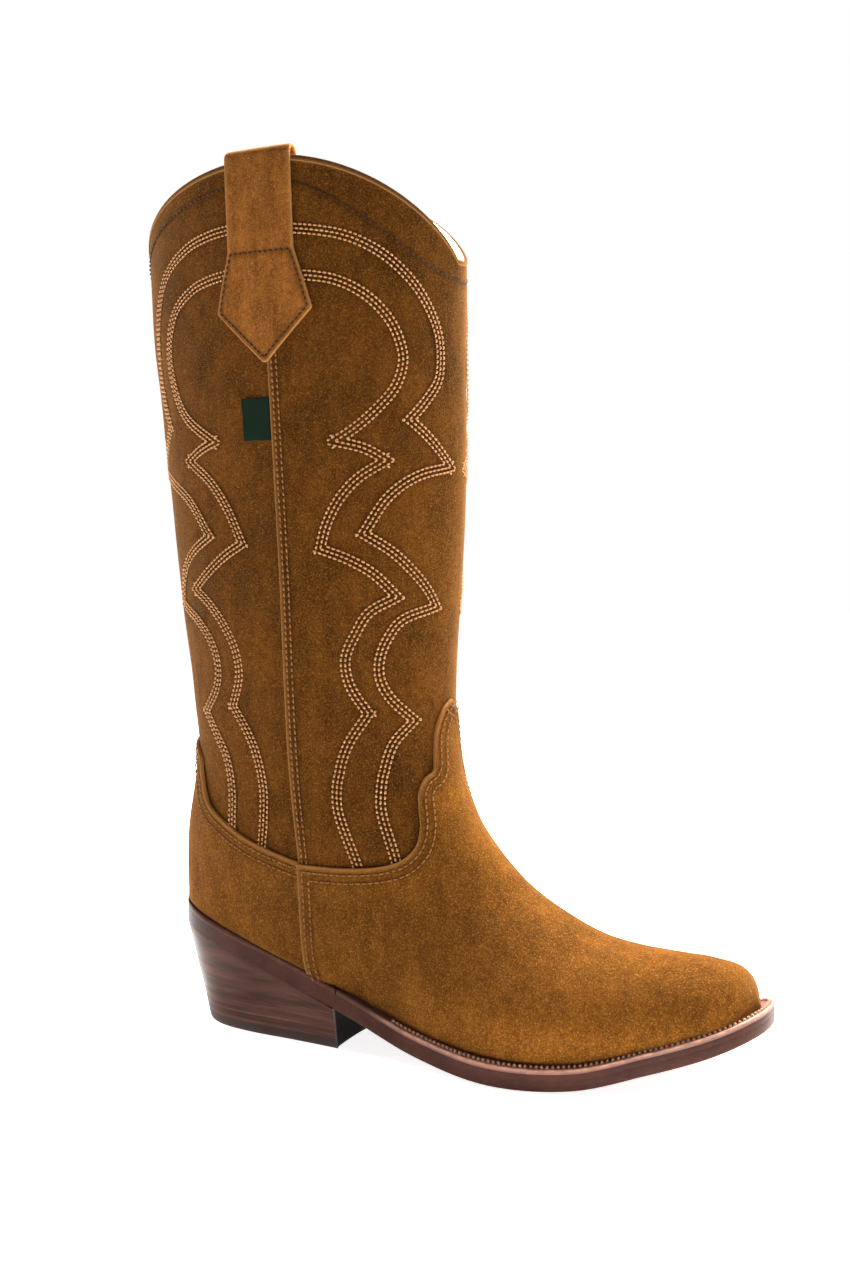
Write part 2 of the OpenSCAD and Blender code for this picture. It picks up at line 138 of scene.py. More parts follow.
def row_at(table, station):
    """The row at any station, on a smooth curve through the table's rows."""
    last = len(table) - 2
    station = np.asarray(station, float)
    i = np.clip(np.floor(station).astype(int), 0, last)
    f = (station - i)[..., None]
    b = table[i]
    c = table[i + 1]
    a = np.where((i > 0)[..., None], table[np.maximum(i - 1, 0)], 2 * b - c)
    d = np.where((i < last)[..., None], table[np.minimum(i + 2, last + 1)], 2 * c - b)
    return 0.5 * (2 * b + (c - a) * f + (2 * a - 5 * b + 4 * c - d) * f**2 + (3 * b - a - 3 * c + d) * f**3)


def mix(a, b, f):
    return a + (b - a) * f


print("stations", len(BODY), "back", len(BACK), "sole", len(SOLE))

# %% [markdown]
# The front half runs over the instep and the toes, the back half round the calf and the heel. A point is
# named by its station and its share of the way round: 0 at the middle and 1 at a side seam, negative on
# the outer side. Every layer of leather is this surface moved outwards by its own distance, so the layers
# never cut through each other.

# %% Surface of the last
TINY = 0.001


def front_base(t, p):
    c = row_at(BODY, t)
    bulge = np.maximum(c[..., 7], 1)
    low = -np.arccos(1 / bulge)
    turn = low + (np.pi / 2 - low) * (1 - np.abs(p))
    share = (np.sin(turn) - np.sin(low)) / (1 - np.sin(low))
    half = np.where(p < 0, c[..., 2], c[..., 3]) * bulge * np.maximum(np.cos(turn), 0)
    x = mix(c[..., 0], c[..., 5], share)
    z = mix(c[..., 1], c[..., 6], share)
    return np.stack([x, c[..., 4] + np.sign(p) * half, z], -1)


def back_base(t, p):
    c = row_at(BODY, t)
    b = row_at(BACK, t)
    angle = np.pi / 2 * np.abs(p)
    k = np.maximum(np.cos(angle), 0) ** (2 / b[..., 2])
    half = np.where(p < 0, c[..., 2], c[..., 3]) * np.sin(angle) ** (2 / b[..., 2])
    x = mix(c[..., 0], b[..., 0], k)
    z = mix(c[..., 1], b[..., 1], k)
    return np.stack([x, c[..., 4] + np.sign(p) * half, z], -1)


def unit(v):
    return v / np.maximum(np.linalg.norm(v, axis=-1, keepdims=True), 1e-12)


# Each half: its surface, its last station and the sign that turns its direction outwards.
FRONT = (front_base, TOE_STATION, 1)
REAR = (back_base, HEEL_STATION, -1)


def half_skin(half, t, p):
    """A point of one half and the direction straight out of it."""
    base, last, sign = half
    t, p = np.broadcast_arrays(np.asarray(t, float), np.asarray(p, float))
    t = np.clip(t, 0.002, last)
    along = base(t + TINY, p) - base(t - TINY, p)
    around = base(t, np.minimum(p + TINY, 1)) - base(t, np.maximum(p - TINY, -1))
    return base(t, p), sign * unit(np.cross(along, around))


def front_skin(t, p, d):
    point, out = half_skin(FRONT, t, p)
    return point + np.asarray(d, float)[..., None] * out


def back_skin(t, p, d):
    """Past a side seam the back half runs on under the front half."""
    t, p = np.broadcast_arrays(np.asarray(t, float), np.asarray(p, float))
    d = np.broadcast_to(np.asarray(d, float), p.shape)
    point, out = half_skin(REAR, t, np.clip(p, -1, 1))
    behind = point + d[..., None] * out
    ahead = front_skin(t, np.sign(p) * np.minimum(2 - np.abs(p), 1), d)
    return np.where((np.abs(p) <= 1)[..., None], behind, ahead)


def under_z(x):
    """Height of the sole's underside at a distance from the back of the seat."""
    x = np.clip(x, 0.1, SOLE_LENGTH - 0.1)
    return row_at(SOLE, 12 * np.arccos(1 - 2 * x / SOLE_LENGTH) / np.pi)[..., 3]


def onto_seat(points, sink=0.35):
    points = points.copy()
    points[..., 2] = np.maximum(points[..., 2], under_z(points[..., 0]) + SEAT - sink)
    return points


print("front of the ankle", front_skin(5.0, 0.0, 0.0).round(1))

# %% [markdown]
# Arc length tells how far apart stations really are. With it the rows of a mesh come out evenly spaced,
# although the stations themselves are not.

# %% Even spacing along the last


def distance_along(points):
    """Distance from the first point to each point of a line."""
    return np.concatenate([[0], np.cumsum(np.linalg.norm(np.diff(points, axis=0), axis=1))])


steps = np.linspace(0, TOE_STATION, 1200)
ridge = distance_along(front_base(steps, np.zeros(1200)))
rim_line = distance_along(front_base(steps, np.full(1200, -0.9)))
run = (ridge + rim_line) / 2


def even(a, b, f):
    """The station at share f of the real distance between stations a and b."""
    return np.interp(mix(np.interp(a, steps, run), np.interp(b, steps, run), f), run, steps)


def station_of(z):
    """Station of a height on the shaft, whose sides are upright down to the fourth row."""
    return np.interp(-z, -BODY[:4, 1], np.arange(4))


print("top edge to toe", round(float(run[-1]), 1), "mm")

# %% [markdown]
# ## From grid to leather
# A sheet of leather is a grid of points on the surface, once for its face and once for its back, joined
# round the edge. Close to the edge the two come together, which gives the small rounding of a cut or
# skived edge. The rows are crowded there so that the rounding is real geometry and catches the light.
# One helper stores a mesh, another turns a grid into such a sheet.

# %% Mesh helpers


def new_piece(name, points, faces, material, body="boot", slot=None, stands_for=(), masks=None, crisp=50):
    """A mesh from points in millimetres, riding on a body, with per-point masks for its material."""
    points = np.asarray(points, float).reshape(-1, 3)
    moved = (points - np.array([CENTRE_X, 0, 0])) * MILLIMETRE
    mesh = bpy.data.meshes.new(name)
    mesh.from_pydata(moved.tolist(), [], [list(f) for f in faces])
    mesh.validate()
    mesh.polygons.foreach_set("use_smooth", [True] * len(mesh.polygons))
    mesh.set_sharp_from_angle(angle=math.radians(crisp))
    for key, values in (masks or {}).items():
        values = np.asarray(values, np.float32)
        kind = "FLOAT" if values.ndim == 1 else "FLOAT_VECTOR"
        layer = mesh.attributes.new(key, kind, "POINT")
        layer.data.foreach_set("value" if kind == "FLOAT" else "vector", values.ravel())
    mesh.materials.append(material)
    piece = bpy.data.objects.new(name, mesh)
    scene.collection.objects.link(piece)
    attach(piece, body)
    if stands_for:
        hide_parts(*stands_for)
    print(name, "points", len(points), "faces", len(faces))
    return piece


def crowded(length, pitch):
    """Shares from 0 to 1 along a length: crowded at both ends, evenly spaced between."""
    near = np.array([0, 0.12, 0.32, 0.6, 1.0]) / length
    count = max(4, int(round(length / pitch)))
    middle = np.linspace(near[-1], 1 - near[-1], count)
    return np.concatenate([near[:-1], middle, 1 - near[:-1][::-1]])


def to_edge(points, axis):
    """Distance of each grid point to the nearer end of its row or column."""
    gap = np.linalg.norm(np.diff(points, axis=axis), axis=-1)
    so_far = np.cumsum(gap, axis=axis)
    zero = np.zeros_like(np.take(so_far, [0], axis=axis))
    so_far = np.concatenate([zero, so_far], axis=axis)
    total = np.take(so_far, [-1], axis=axis)
    return np.minimum(so_far, total - so_far)


def grid_faces(rows, cols, start=0):
    i = np.arange(rows - 1)[:, None] * cols + np.arange(cols - 1)[None, :] + start
    i = i.ravel()
    return np.stack([i, i + 1, i + cols + 1, i + cols], 1)


def rim_faces(rows, cols, shift):
    index = np.arange(rows * cols).reshape(rows, cols)
    ring = np.concatenate([index[0, :-1], index[:-1, -1], index[-1, :0:-1], index[:0:-1, 0]])
    after = np.roll(ring, -1)
    return np.stack([ring, ring + shift, after + shift, after], 1)


def facing_out(points, faces):
    """The same faces, turned over if the solid they close would be inside out."""
    a, b, c, d = (points[faces[:, k]] for k in range(4))
    volume = np.einsum("ij,ij->i", a, np.cross(b, c) + np.cross(c, d)).sum()
    return faces if volume > 0 else faces[:, ::-1]


def capped(points, walls, ends):
    """Walls with their end faces, all turned over together if they face inwards."""
    facing = facing_out(points, walls)
    return facing.tolist() + [end if facing is walls else end[::-1] for end in ends]


# Depth and width of the groove that thread pulls, and how far the paler edge reaches in from an edge: worn
# raw hide, with a painted highlight on suede.
GROOVE_DEPTH = 0.32
GROOVE_WIDTH = 1.15
EDGE_WEAR_AND_HIGHLIGHT_REACH = 0.8


def leather(name, place, u, v, low, high, material, stitches=None, shape=None, soft=0.55, **facts):
    """A sheet between two offsets; place(u, v, d) gives its points."""
    grid_u, grid_v = np.meshgrid(u, v, indexing="ij")
    middle = np.full(grid_u.shape, (low + high) / 2)
    half = (high - low) / 2
    mid = place(grid_u, grid_v, middle)
    inside = np.minimum(to_edge(mid, 0), to_edge(mid, 1))
    soft = min(soft, half)
    drop = soft * (1 - np.sqrt(1 - (1 - np.clip(inside / soft, 0, 1)) ** 2))
    press = np.zeros(grid_u.shape)
    if stitches is not None:
        near = nearest(place(grid_u, grid_v, middle + half), stitches)
        press = np.exp(-((near / GROOVE_WIDTH) ** 2))
    lift = 0 if shape is None else shape(mid, inside)
    face = place(grid_u, grid_v, middle + half - drop - GROOVE_DEPTH * press + lift)
    back = place(grid_u, grid_v, middle - half + drop + np.minimum(lift, 0))
    rows, cols = grid_u.shape
    shift = rows * cols
    faces = np.concatenate([
        grid_faces(rows, cols),
        grid_faces(rows, cols, shift)[:, ::-1],
        rim_faces(rows, cols, shift),
    ])
    points = np.concatenate([face.reshape(-1, 3), back.reshape(-1, 3)])
    # On suede the edge mask paints the paler cut edge: raw hide, partly a painted highlight.
    worn = np.exp(-inside / EDGE_WEAR_AND_HIGHLIGHT_REACH).ravel()
    masks = {
        "edge": np.concatenate([worn, worn]),
        "press": np.concatenate([press.ravel(), np.zeros(shift)]),
    }
    return new_piece(name, points, facing_out(points, faces), material, masks=masks, **facts)


def nearest(points, marks):
    """Distance from each point to the nearest mark."""
    tree = kdtree.KDTree(len(marks))
    for i, mark in enumerate(marks):
        tree.insert(mark, i)
    tree.balance()
    flat = points.reshape(-1, 3)
    return np.array([tree.find(q)[2] for q in flat]).reshape(points.shape[:-1])


def ripple(points, size, seed):
    """A gentle unevenness between -1 and 1, made of a few slow waves."""
    waves = np.random.default_rng(seed)
    total = np.zeros(points.shape[:-1])
    for _ in range(7):
        direction = unit(waves.normal(size=3))
        phase = waves.uniform(0, 2 * np.pi)
        reach = size * waves.uniform(0.6, 1.7)
        total = total + np.sin(points @ direction * 2 * np.pi / reach + phase)
    return total / 4


# %% [markdown]
# ## Edges of the uppers
# The vamp rises in a tongue at the front of the ankle and dips to a small point at each side. The counter
# cups the heel, and the top edge of the shaft dips at the front and the back. Each edge is a smooth curve
# of station against the share of the way round.

# %% Edge curves


def smooth_edge(knots):
    """A function that follows the knots with rounded corners."""
    knots = np.array(knots, float)
    fine = row_at(knots, np.linspace(0, len(knots) - 1, 400))
    order = np.argsort(fine[:, 0])
    return lambda p: np.interp(np.abs(p), fine[order, 0], fine[order, 1])


vamp_top = smooth_edge([
    (0, 4.1), (0.1, 4.22), (0.17, 4.5), (0.2, 5), (0.28, 5.15), (0.34, 5.4), (0.37, 5.9),
    (0.41, 6.2), (0.47, 6.33), (0.55, 6.33), (0.7, 6.2), (0.85, 6.06), (1, 5.93),
])
panel_foot = smooth_edge([
    (0, 4.5), (0.08, 5), (0.2, 6), (0.3, 6.4), (0.45, 6.6), (0.7, 6.45), (1, 6.18),
])
counter_top = smooth_edge([
    (0, 4.65), (0.34, 4.86), (0.41, 5.12), (0.51, 5.46), (0.65, 5.65), (0.81, 5.81), (1, 5.93),
])
PEAK = 386.5
FRONT_DIP = 345
BACK_DIP = 347


def front_top(p):
    """Height of the front edge; it drops off a little sooner on the inner side."""
    rise = np.sin(np.pi / 2 * np.minimum(np.abs(p), 1))
    return station_of(FRONT_DIP + (PEAK - FRONT_DIP) * rise ** np.where(np.asarray(p) > 0, 2.2, 1))


def back_top(p):
    return station_of(BACK_DIP + (PEAK - BACK_DIP) * np.sin(np.pi / 2 * np.minimum(np.abs(p), 1)))


print("tongue", vamp_top(0.0), "side", vamp_top(1.0))

# %% [markdown]
# ## Materials
# Effects that several finishes share are node groups: a nap for suede, a grain for smooth leather, a weave
# for cloth. Each group gives only a colour and a height, and the shader stays in the material. The first
# helpers save repeating the same node calls.

# %% Node helpers


def node_group(name, inputs, outputs):
    """An empty node group, with the sockets to take from and the sockets to give to."""
    tree = bpy.data.node_groups.new(name, "ShaderNodeTree")
    for key, (kind, *start) in inputs.items():
        socket = tree.interface.new_socket(key, in_out="INPUT", socket_type="NodeSocket" + kind)
        if start:
            socket.default_value = start[0]
    for key, kind in outputs.items():
        tree.interface.new_socket(key, in_out="OUTPUT", socket_type="NodeSocket" + kind)
    return tree, tree.nodes.new("NodeGroupInput").outputs, tree.nodes.new("NodeGroupOutput").inputs


def add(tree, kind, settings=None, **inputs):
    """A node with its settings and inputs; an input is a value or another node's socket."""
    node = tree.nodes.new(kind)
    for key, value in (settings or {}).items():
        setattr(node, key, value)
    for key, value in inputs.items():
        socket = node.inputs[int(key[1:])] if key[0] == "i" and key[1:].isdigit() else node.inputs[key]
        if isinstance(value, bpy.types.NodeSocket):
            tree.links.new(value, socket)
        else:
            socket.default_value = value
    return node


def noise(tree, vector, scale, detail=3.0, rough=0.55):
    node = add(tree, "ShaderNodeTexNoise", Vector=vector, Scale=scale, Detail=detail, Roughness=rough)
    return node.outputs["Fac"]


def stretch(tree, vector, scale):
    node = add(tree, "ShaderNodeVectorMath", {"operation": "MULTIPLY"}, i0=vector, i1=scale)
    return node.outputs[0]


def maths(tree, operation, a, b=0.0, c=0.0, clamp=False):
    node = add(tree, "ShaderNodeMath", {"operation": operation, "use_clamp": clamp}, i0=a, i1=b, i2=c)
    return node.outputs[0]


def span(tree, value, low, high, to_low=0.0, to_high=1.0):
    """The value's range low to high, moved to another range and held there."""
    node = add(tree, "ShaderNodeMapRange", {"clamp": True}, Value=value)
    for key, number in (("From Min", low), ("From Max", high), ("To Min", to_low), ("To Max", to_high)):
        node.inputs[key].default_value = number
    return node.outputs[0]


def blend_colour(tree, factor, a, b, kind="MIX"):
    node = add(tree, "ShaderNodeMix", {"data_type": "RGBA", "blend_type": kind}, i0=factor, i6=a, i7=b)
    return node.outputs[2]


def mask(tree, name):
    return add(tree, "ShaderNodeAttribute", {"attribute_name": name}).outputs["Fac"]


def tone(red, green, blue):
    """A colour from the usual 0 to 255 numbers, as the linear light that the nodes use."""
    share = np.array([red, green, blue]) / 255
    linear = np.where(share <= 0.04045, share / 12.92, ((share + 0.055) / 1.055) ** 2.4)
    return (*linear.tolist(), 1.0)


print("brown", [round(v, 3) for v in tone(122, 73, 24)])

# %% [markdown]
# Suede is the split side of the hide, brushed so that its fibres stand up. They lie in drifts, which gives
# soft cloudy patches, and single fibres catch the light as specks. The nap group mixes three sizes of
# noise for that. Where the leather is pressed by thread it is darker, and a cut edge is painted paler: the
# raw hide, with a painted highlight where the edge catches the light.

# %% Nap, grain, weave and streak groups
VECTOR = ["Vector"]
COLOUR = ["Color"]
VALUE = ["Float"]
nap, into, leave = node_group(
    "nap",
    {"Vector": VECTOR, "Deep": COLOUR, "Mid": COLOUR, "Light": COLOUR, "Raw": COLOUR,
     "Press": VALUE, "Edge": VALUE},
    {"Colour": "Color", "Height": "Float"})
at = into["Vector"]
drift = noise(nap, at, 22.0, 4.0, 0.6)
brushed = noise(nap, stretch(nap, at, (150.0, 150.0, 60.0)), 1.0, 4.0, 0.65)
tuft = noise(nap, at, 420.0, 3.0, 0.65)
speck = noise(nap, at, 1500.0, 3.0, 0.75)
cloud = maths(nap, "ADD", maths(nap, "MULTIPLY", drift, 0.55), maths(nap, "MULTIPLY", brushed, 0.45))
base = blend_colour(nap, span(nap, cloud, 0.37, 0.6), into["Deep"], into["Mid"])
base = blend_colour(nap, span(nap, tuft, 0.36, 0.58, 0.5, 0.0), base, into["Deep"])
base = blend_colour(nap, span(nap, speck, 0.5, 0.72, 0.0, 0.5), base, into["Light"])
base = blend_colour(nap, span(nap, speck, 0.28, 0.48, 0.6, 0.0), base, into["Deep"])
base = blend_colour(nap, maths(nap, "MULTIPLY", into["Press"], 0.55), base, into["Deep"])
# Paler cut edge: raw hide, with a painted highlight in the same colour.
base = blend_colour(nap, maths(nap, "MULTIPLY", into["Edge"], 0.6), base, into["Raw"])
height = maths(nap, "ADD", speck, maths(nap, "MULTIPLY", brushed, 0.5))
nap.links.new(base, leave["Colour"])
nap.links.new(height, leave["Height"])

grain, into, leave = node_group(
    "grain",
    {"Vector": VECTOR, "Dark": COLOUR, "Pale": COLOUR, "Pebble": VALUE, "Edge": VALUE, "Worn": COLOUR,
     "Shade": VALUE, "Waist_Colour": ["Color", tone(76, 44, 34)]},
    {"Colour": "Color", "Height": "Float", "Gloss": "Float"})
at = into["Vector"]
patch = noise(grain, at, 35.0, 5.0, 0.6)
pores = add(grain, "ShaderNodeTexVoronoi", {"feature": "F1"}, Vector=at,
            Scale=into["Pebble"]).outputs["Distance"]
scuff = noise(grain, stretch(grain, at, (260.0, 260.0, 520.0)), 1.0, 3.0, 0.6)
base = blend_colour(grain, span(grain, patch, 0.35, 0.65), into["Dark"], into["Pale"])
base = blend_colour(grain, span(grain, scuff, 0.58, 0.8, 0.0, 0.3), base, into["Worn"])
wear = maths(grain, "MULTIPLY", into["Edge"], span(grain, scuff, 0.35, 0.65, 0.4, 1.0), clamp=True)
base = blend_colour(grain, wear, base, into["Worn"])
# Where the Shade mask is set, the colour goes to the darker waist colour: on the welt, darker towards the
# heel.
base = blend_colour(grain, into["Shade"], base, into["Waist_Colour"])
grain.links.new(base, leave["Colour"])
grain.links.new(maths(grain, "ADD", pores, maths(grain, "MULTIPLY", scuff, 0.6)), leave["Height"])
grain.links.new(maths(grain, "ADD", maths(grain, "MULTIPLY", scuff, 0.6), patch), leave["Gloss"])

weave, into, leave = node_group(
    "weave", {"Vector": VECTOR, "Warp": COLOUR, "Weft": COLOUR, "Count": VALUE},
    {"Colour": "Color", "Height": "Float"})
at = into["Vector"]
scaled = add(weave, "ShaderNodeVectorMath", {"operation": "SCALE"}, i0=at,
             Scale=into["Count"]).outputs[0]
axes = add(weave, "ShaderNodeSeparateXYZ", Vector=scaled).outputs
over = maths(weave, "SINE", maths(weave, "MULTIPLY", axes[0], math.tau))
under = maths(weave, "SINE", maths(weave, "MULTIPLY", axes[2], math.tau))
cross = maths(weave, "MULTIPLY", over, under)
fuzz = noise(weave, at, 600.0, 3.0)
base = blend_colour(weave, span(weave, cross, -0.6, 0.6), into["Warp"], into["Weft"])
base = blend_colour(weave, span(weave, fuzz, 0.5, 0.75, 0.0, 0.4), base, into["Warp"])
weave.links.new(base, leave["Colour"])
weave.links.new(maths(weave, "ADD", maths(weave, "ABSOLUTE", cross), fuzz), leave["Height"])

streak, into, leave = node_group(
    "streak",
    {"Vector": VECTOR, "Dark": COLOUR, "Mid": COLOUR, "Pale": COLOUR, "Level": VALUE,
     "Edge": VALUE, "Shade": VALUE},
    {"Colour": "Color", "Height": "Float", "Gloss": "Float"})
at = into["Vector"]
layers = noise(streak, stretch(streak, at, (24.0, 24.0, 1300.0)), 1.0, 3.0, 0.6)
broad = noise(streak, stretch(streak, at, (30.0, 30.0, 260.0)), 1.0, 3.0, 0.5)
base = blend_colour(streak, span(streak, broad, 0.35, 0.65), into["Dark"], into["Mid"])
lines = span(streak, layers, 0.55, 0.74)
height_up = add(streak, "ShaderNodeSeparateXYZ", Vector=at).outputs[2]
below = maths(streak, "LESS_THAN", height_up, into["Level"])
lines = maths(streak, "MULTIPLY", lines, maths(streak, "ADD", maths(streak, "MULTIPLY", below, 0.4), 0.06))
base = blend_colour(streak, lines, base, into["Pale"])
base = blend_colour(streak, maths(streak, "MULTIPLY", into["Edge"], 0.2), base, into["Pale"])
# Painted shade: where the Shade mask is set, on the breast of the heel, the colour goes almost black.
base = blend_colour(streak, into["Shade"], base, tone(18, 10, 8))
streak.links.new(base, leave["Colour"])
streak.links.new(layers, leave["Height"])
streak.links.new(broad, leave["Gloss"])
print("groups", [g.name for g in bpy.data.node_groups])

# %% [markdown]
# A material puts a group in front of a shader. Sheen is the soft glow of standing fibres at a glancing
# angle, and it belongs to suede. Smooth, stained leather has a thin coat instead. Those numbers are the
# same all over a surface, so they are set on the shader itself.

# %% Material maker


def finish(name, group, colours, shader, bump, gloss=None, marks=(), **numbers):
    """A material with one group, a bump from its height and constants on its shader."""
    material = bpy.data.materials.new(name)
    material.use_nodes = True
    tree = material.node_tree
    tree.nodes.clear()
    where = add(tree, "ShaderNodeTexCoord").outputs["Object"]
    box = add(tree, "ShaderNodeGroup", {"node_tree": group}, Vector=where)
    for key, colour in colours.items():
        box.inputs[key].default_value = tone(*colour)
    for key, number in numbers.items():
        box.inputs[key].default_value = number
    for key in marks:
        tree.links.new(mask(tree, key.lower()), box.inputs[key])
    surface = add(tree, "ShaderNodeBsdfPrincipled", {}, **{"Base Color": box.outputs["Colour"], **shader})
    raised = add(tree, "ShaderNodeBump", Strength=bump[0], Distance=bump[1], Height=box.outputs["Height"])
    tree.links.new(raised.outputs[0], surface.inputs["Normal"])
    if gloss:
        rough = span(tree, box.outputs["Gloss"], 0.4, 1.1, *gloss)
        if "Shade" in marks:
            rough = maths(tree, "MAXIMUM", rough, mask(tree, "shade"))
        tree.links.new(rough, surface.inputs["Roughness"])
    add(tree, "ShaderNodeOutputMaterial", Surface=surface.outputs[0])
    return material


SOFT_GLOW = {"Roughness": 0.95, "Sheen Weight": 0.22, "Sheen Roughness": 0.3,
             "Sheen Tint": tone(250, 185, 110), "Specular IOR Level": 0.04}


def suede(name, deep, mid, light):
    # The raw edge colour is the paler cut edge, which also carries a painted highlight.
    colours = {"Deep": deep, "Mid": mid, "Light": light, "Raw": (176, 124, 72)}
    return finish(name, nap, colours, SOFT_GLOW, (0.7, 0.0003), None, ("Press", "Edge"))


shaft_suede = suede("suede_shaft", (50, 28, 6), (88, 51, 14), (160, 106, 45))
strap_suede = suede("suede_strap", (86, 50, 16), (140, 86, 36), (196, 134, 72))
foot_suede = suede("suede_foot", (68, 39, 9), (108, 65, 20), (180, 122, 56))
dark_suede = suede("suede_turned_edge", (44, 24, 8), (70, 42, 16), (104, 68, 34))

# Smooth leathers and boards: dark, pale and worn colour, pores per metre, shader, bump, gloss, masks.
GLAZED = {"Coat Weight": 0.03, "Coat Roughness": 0.35, "Specular IOR Level": 0.08}
WAXED = {"Coat Weight": 0.1, "Coat Roughness": 0.4}
GRAINS = {
    "stained_sole_edge": ((50, 26, 19), (74, 42, 32), (104, 66, 52), 700.0, GLAZED,
                          (0.25, 0.0002), (0.3, 0.55), ("Edge",)),
    "stained_rand": ((50, 27, 20), (74, 43, 34), (100, 64, 50), 800.0, GLAZED,
                     (0.25, 0.0002), (0.3, 0.55), ("Edge",)),
    "waxed_welt": ((84, 44, 36), (118, 70, 56), (196, 146, 118), 900.0, WAXED,
                   (0.35, 0.0002), (0.45, 0.7), ("Edge", "Shade")),
    "tan_lining": ((222, 160, 90), (238, 190, 122), (246, 210, 150), 1100.0, {"Specular IOR Level": 0.35},
                   (0.3, 0.00015), (0.5, 0.75), ()),
    "fibre_board": ((150, 108, 66), (190, 146, 98), (206, 170, 124), 500.0, {},
                    (0.6, 0.0003), (0.8, 0.95), ()),
    "pressed_stiffener": ((84, 56, 38), (124, 88, 62), (150, 116, 88), 600.0, {},
                          (0.5, 0.0002), (0.7, 0.9), ()),
    "cork_filler": ((120, 84, 50), (186, 146, 98), (90, 60, 36), 420.0, {},
                    (0.9, 0.0005), (0.8, 0.95), ()),
    "spring_steel": ((140, 144, 150), (176, 180, 186), (200, 202, 206), 2400.0, {"Metallic": 1.0},
                     (0.15, 0.0001), (0.25, 0.5), ()),
}
smooth = {}
for name, (dark, pale, worn, pebble, shader, bump, gloss, marks) in GRAINS.items():
    colours = {"Dark": dark, "Pale": pale, "Worn": worn}
    smooth[name] = finish(name, grain, colours, shader, bump, gloss, marks, Pebble=pebble)
lining_finish = smooth["tan_lining"]

# The lifts show as pale lines below this height, in metres; above it the heel is one even stain.
heel_finish = finish(
    "stacked_heel", streak, {"Dark": (60, 35, 28), "Mid": (84, 53, 44), "Pale": (136, 92, 70)},
    GLAZED, (0.3, 0.00012), (0.35, 0.55), ("Edge", "Shade"), Level=0.026)
rubber_finish = finish(
    "top_lift_rubber", streak, {"Dark": (42, 24, 19), "Mid": (62, 37, 30), "Pale": (110, 72, 56)},
    {"Specular IOR Level": 0.25}, (0.4, 0.00015), (0.5, 0.75), ("Edge", "Shade"), Level=0.0)
canvas_finish = finish("canvas", weave, {"Warp": (226, 214, 186), "Weft": (196, 182, 150)},
                       {"Roughness": 0.95}, (0.8, 0.0003), Count=900.0)
tag_finish = finish("woven_tag", weave, {"Warp": (16, 42, 27), "Weft": (5, 20, 12)},
                    {"Roughness": 0.85, "Specular IOR Level": 0.1}, (0.9, 0.0003), Count=1100.0)
print("materials", len(bpy.data.materials))

# %% [markdown]
# Thread is two strands twisted together. Each stitch carries its own coordinates, the distance along it
# and the way round it, so the twist can be drawn as slanting bands that run the length of the thread.

# %% Thread material


def thread(name, dark, pale):
    material = bpy.data.materials.new(name)
    material.use_nodes = True
    tree = material.node_tree
    tree.nodes.clear()
    strand = add(tree, "ShaderNodeAttribute", {"attribute_name": "strand"}).outputs["Vector"]
    axes = add(tree, "ShaderNodeSeparateXYZ", Vector=strand).outputs
    turn = maths(tree, "ADD", maths(tree, "MULTIPLY", axes[0], 7.0), axes[1])
    band = maths(tree, "ABSOLUTE", maths(tree, "SINE", turn))
    where = add(tree, "ShaderNodeTexCoord").outputs["Object"]
    fluff = noise(tree, where, 2600.0, 2.0)
    patch = noise(tree, where, 60.0, 2.0)
    base = blend_colour(tree, span(tree, band, 0.1, 0.8), tone(*dark), tone(*pale))
    base = blend_colour(tree, span(tree, fluff, 0.45, 0.8, 0.0, 0.35), base, tone(*dark))
    base = blend_colour(tree, span(tree, patch, 0.4, 0.7, 0.0, 0.25), base, tone(*dark))
    surface = add(tree, "ShaderNodeBsdfPrincipled", {},
                  **{"Base Color": base, "Roughness": 0.7, "Specular IOR Level": 0.2})
    raised = add(tree, "ShaderNodeBump", Strength=0.6, Distance=0.0001, Height=band)
    tree.links.new(raised.outputs[0], surface.inputs["Normal"])
    add(tree, "ShaderNodeOutputMaterial", Surface=surface.outputs[0])
    return material


cream_thread = thread("thread_cream", (140, 92, 54), (204, 154, 104))
dark_thread = thread("thread_dark", (40, 22, 10), (70, 40, 18))
tan_thread = thread("thread_tan", (98, 60, 26), (150, 102, 52))
welt_thread = thread("thread_welt", (120, 76, 62), (206, 160, 136))
print("threads", [m.name for m in (cream_thread, dark_thread, tan_thread, welt_thread)])

# %% [markdown]
# ## Where the thread goes
# A sewn row follows a curve on the leather. We work it out before the leather itself, because thread pulls
# a shallow groove into suede, and the sheets need to know where. A row is kept as points and outward
# directions. To sew side by side rows, a curve is shifted sideways, carried on a little at its sharp
# turns, and trimmed wherever it would come too close to the middle curve.

# %% Row helpers


def smooth_run(knots, per_step=24):
    """Station and share along a smooth line through the knots."""
    knots = np.array(knots, float)
    return row_at(knots, np.linspace(0, len(knots) - 1, per_step * (len(knots) - 1) + 1))


def on_surface(half, run_of, side, d):
    """Points and outward directions of a line drawn on the front or back half."""
    point, out = half_skin(half, run_of[:, 0], run_of[:, 1] * side)
    return point + d * out, out


def read_along(at, so_far, values):
    """Values of a line at other distances along it."""
    return np.stack([np.interp(at, so_far, values[:, k]) for k in range(3)], -1)


def even_steps(points, out, pitch=0.5):
    so_far = distance_along(points)
    at = np.linspace(0, so_far[-1], max(2, int(so_far[-1] / pitch)))
    return read_along(at, so_far, points), unit(read_along(at, so_far, out))


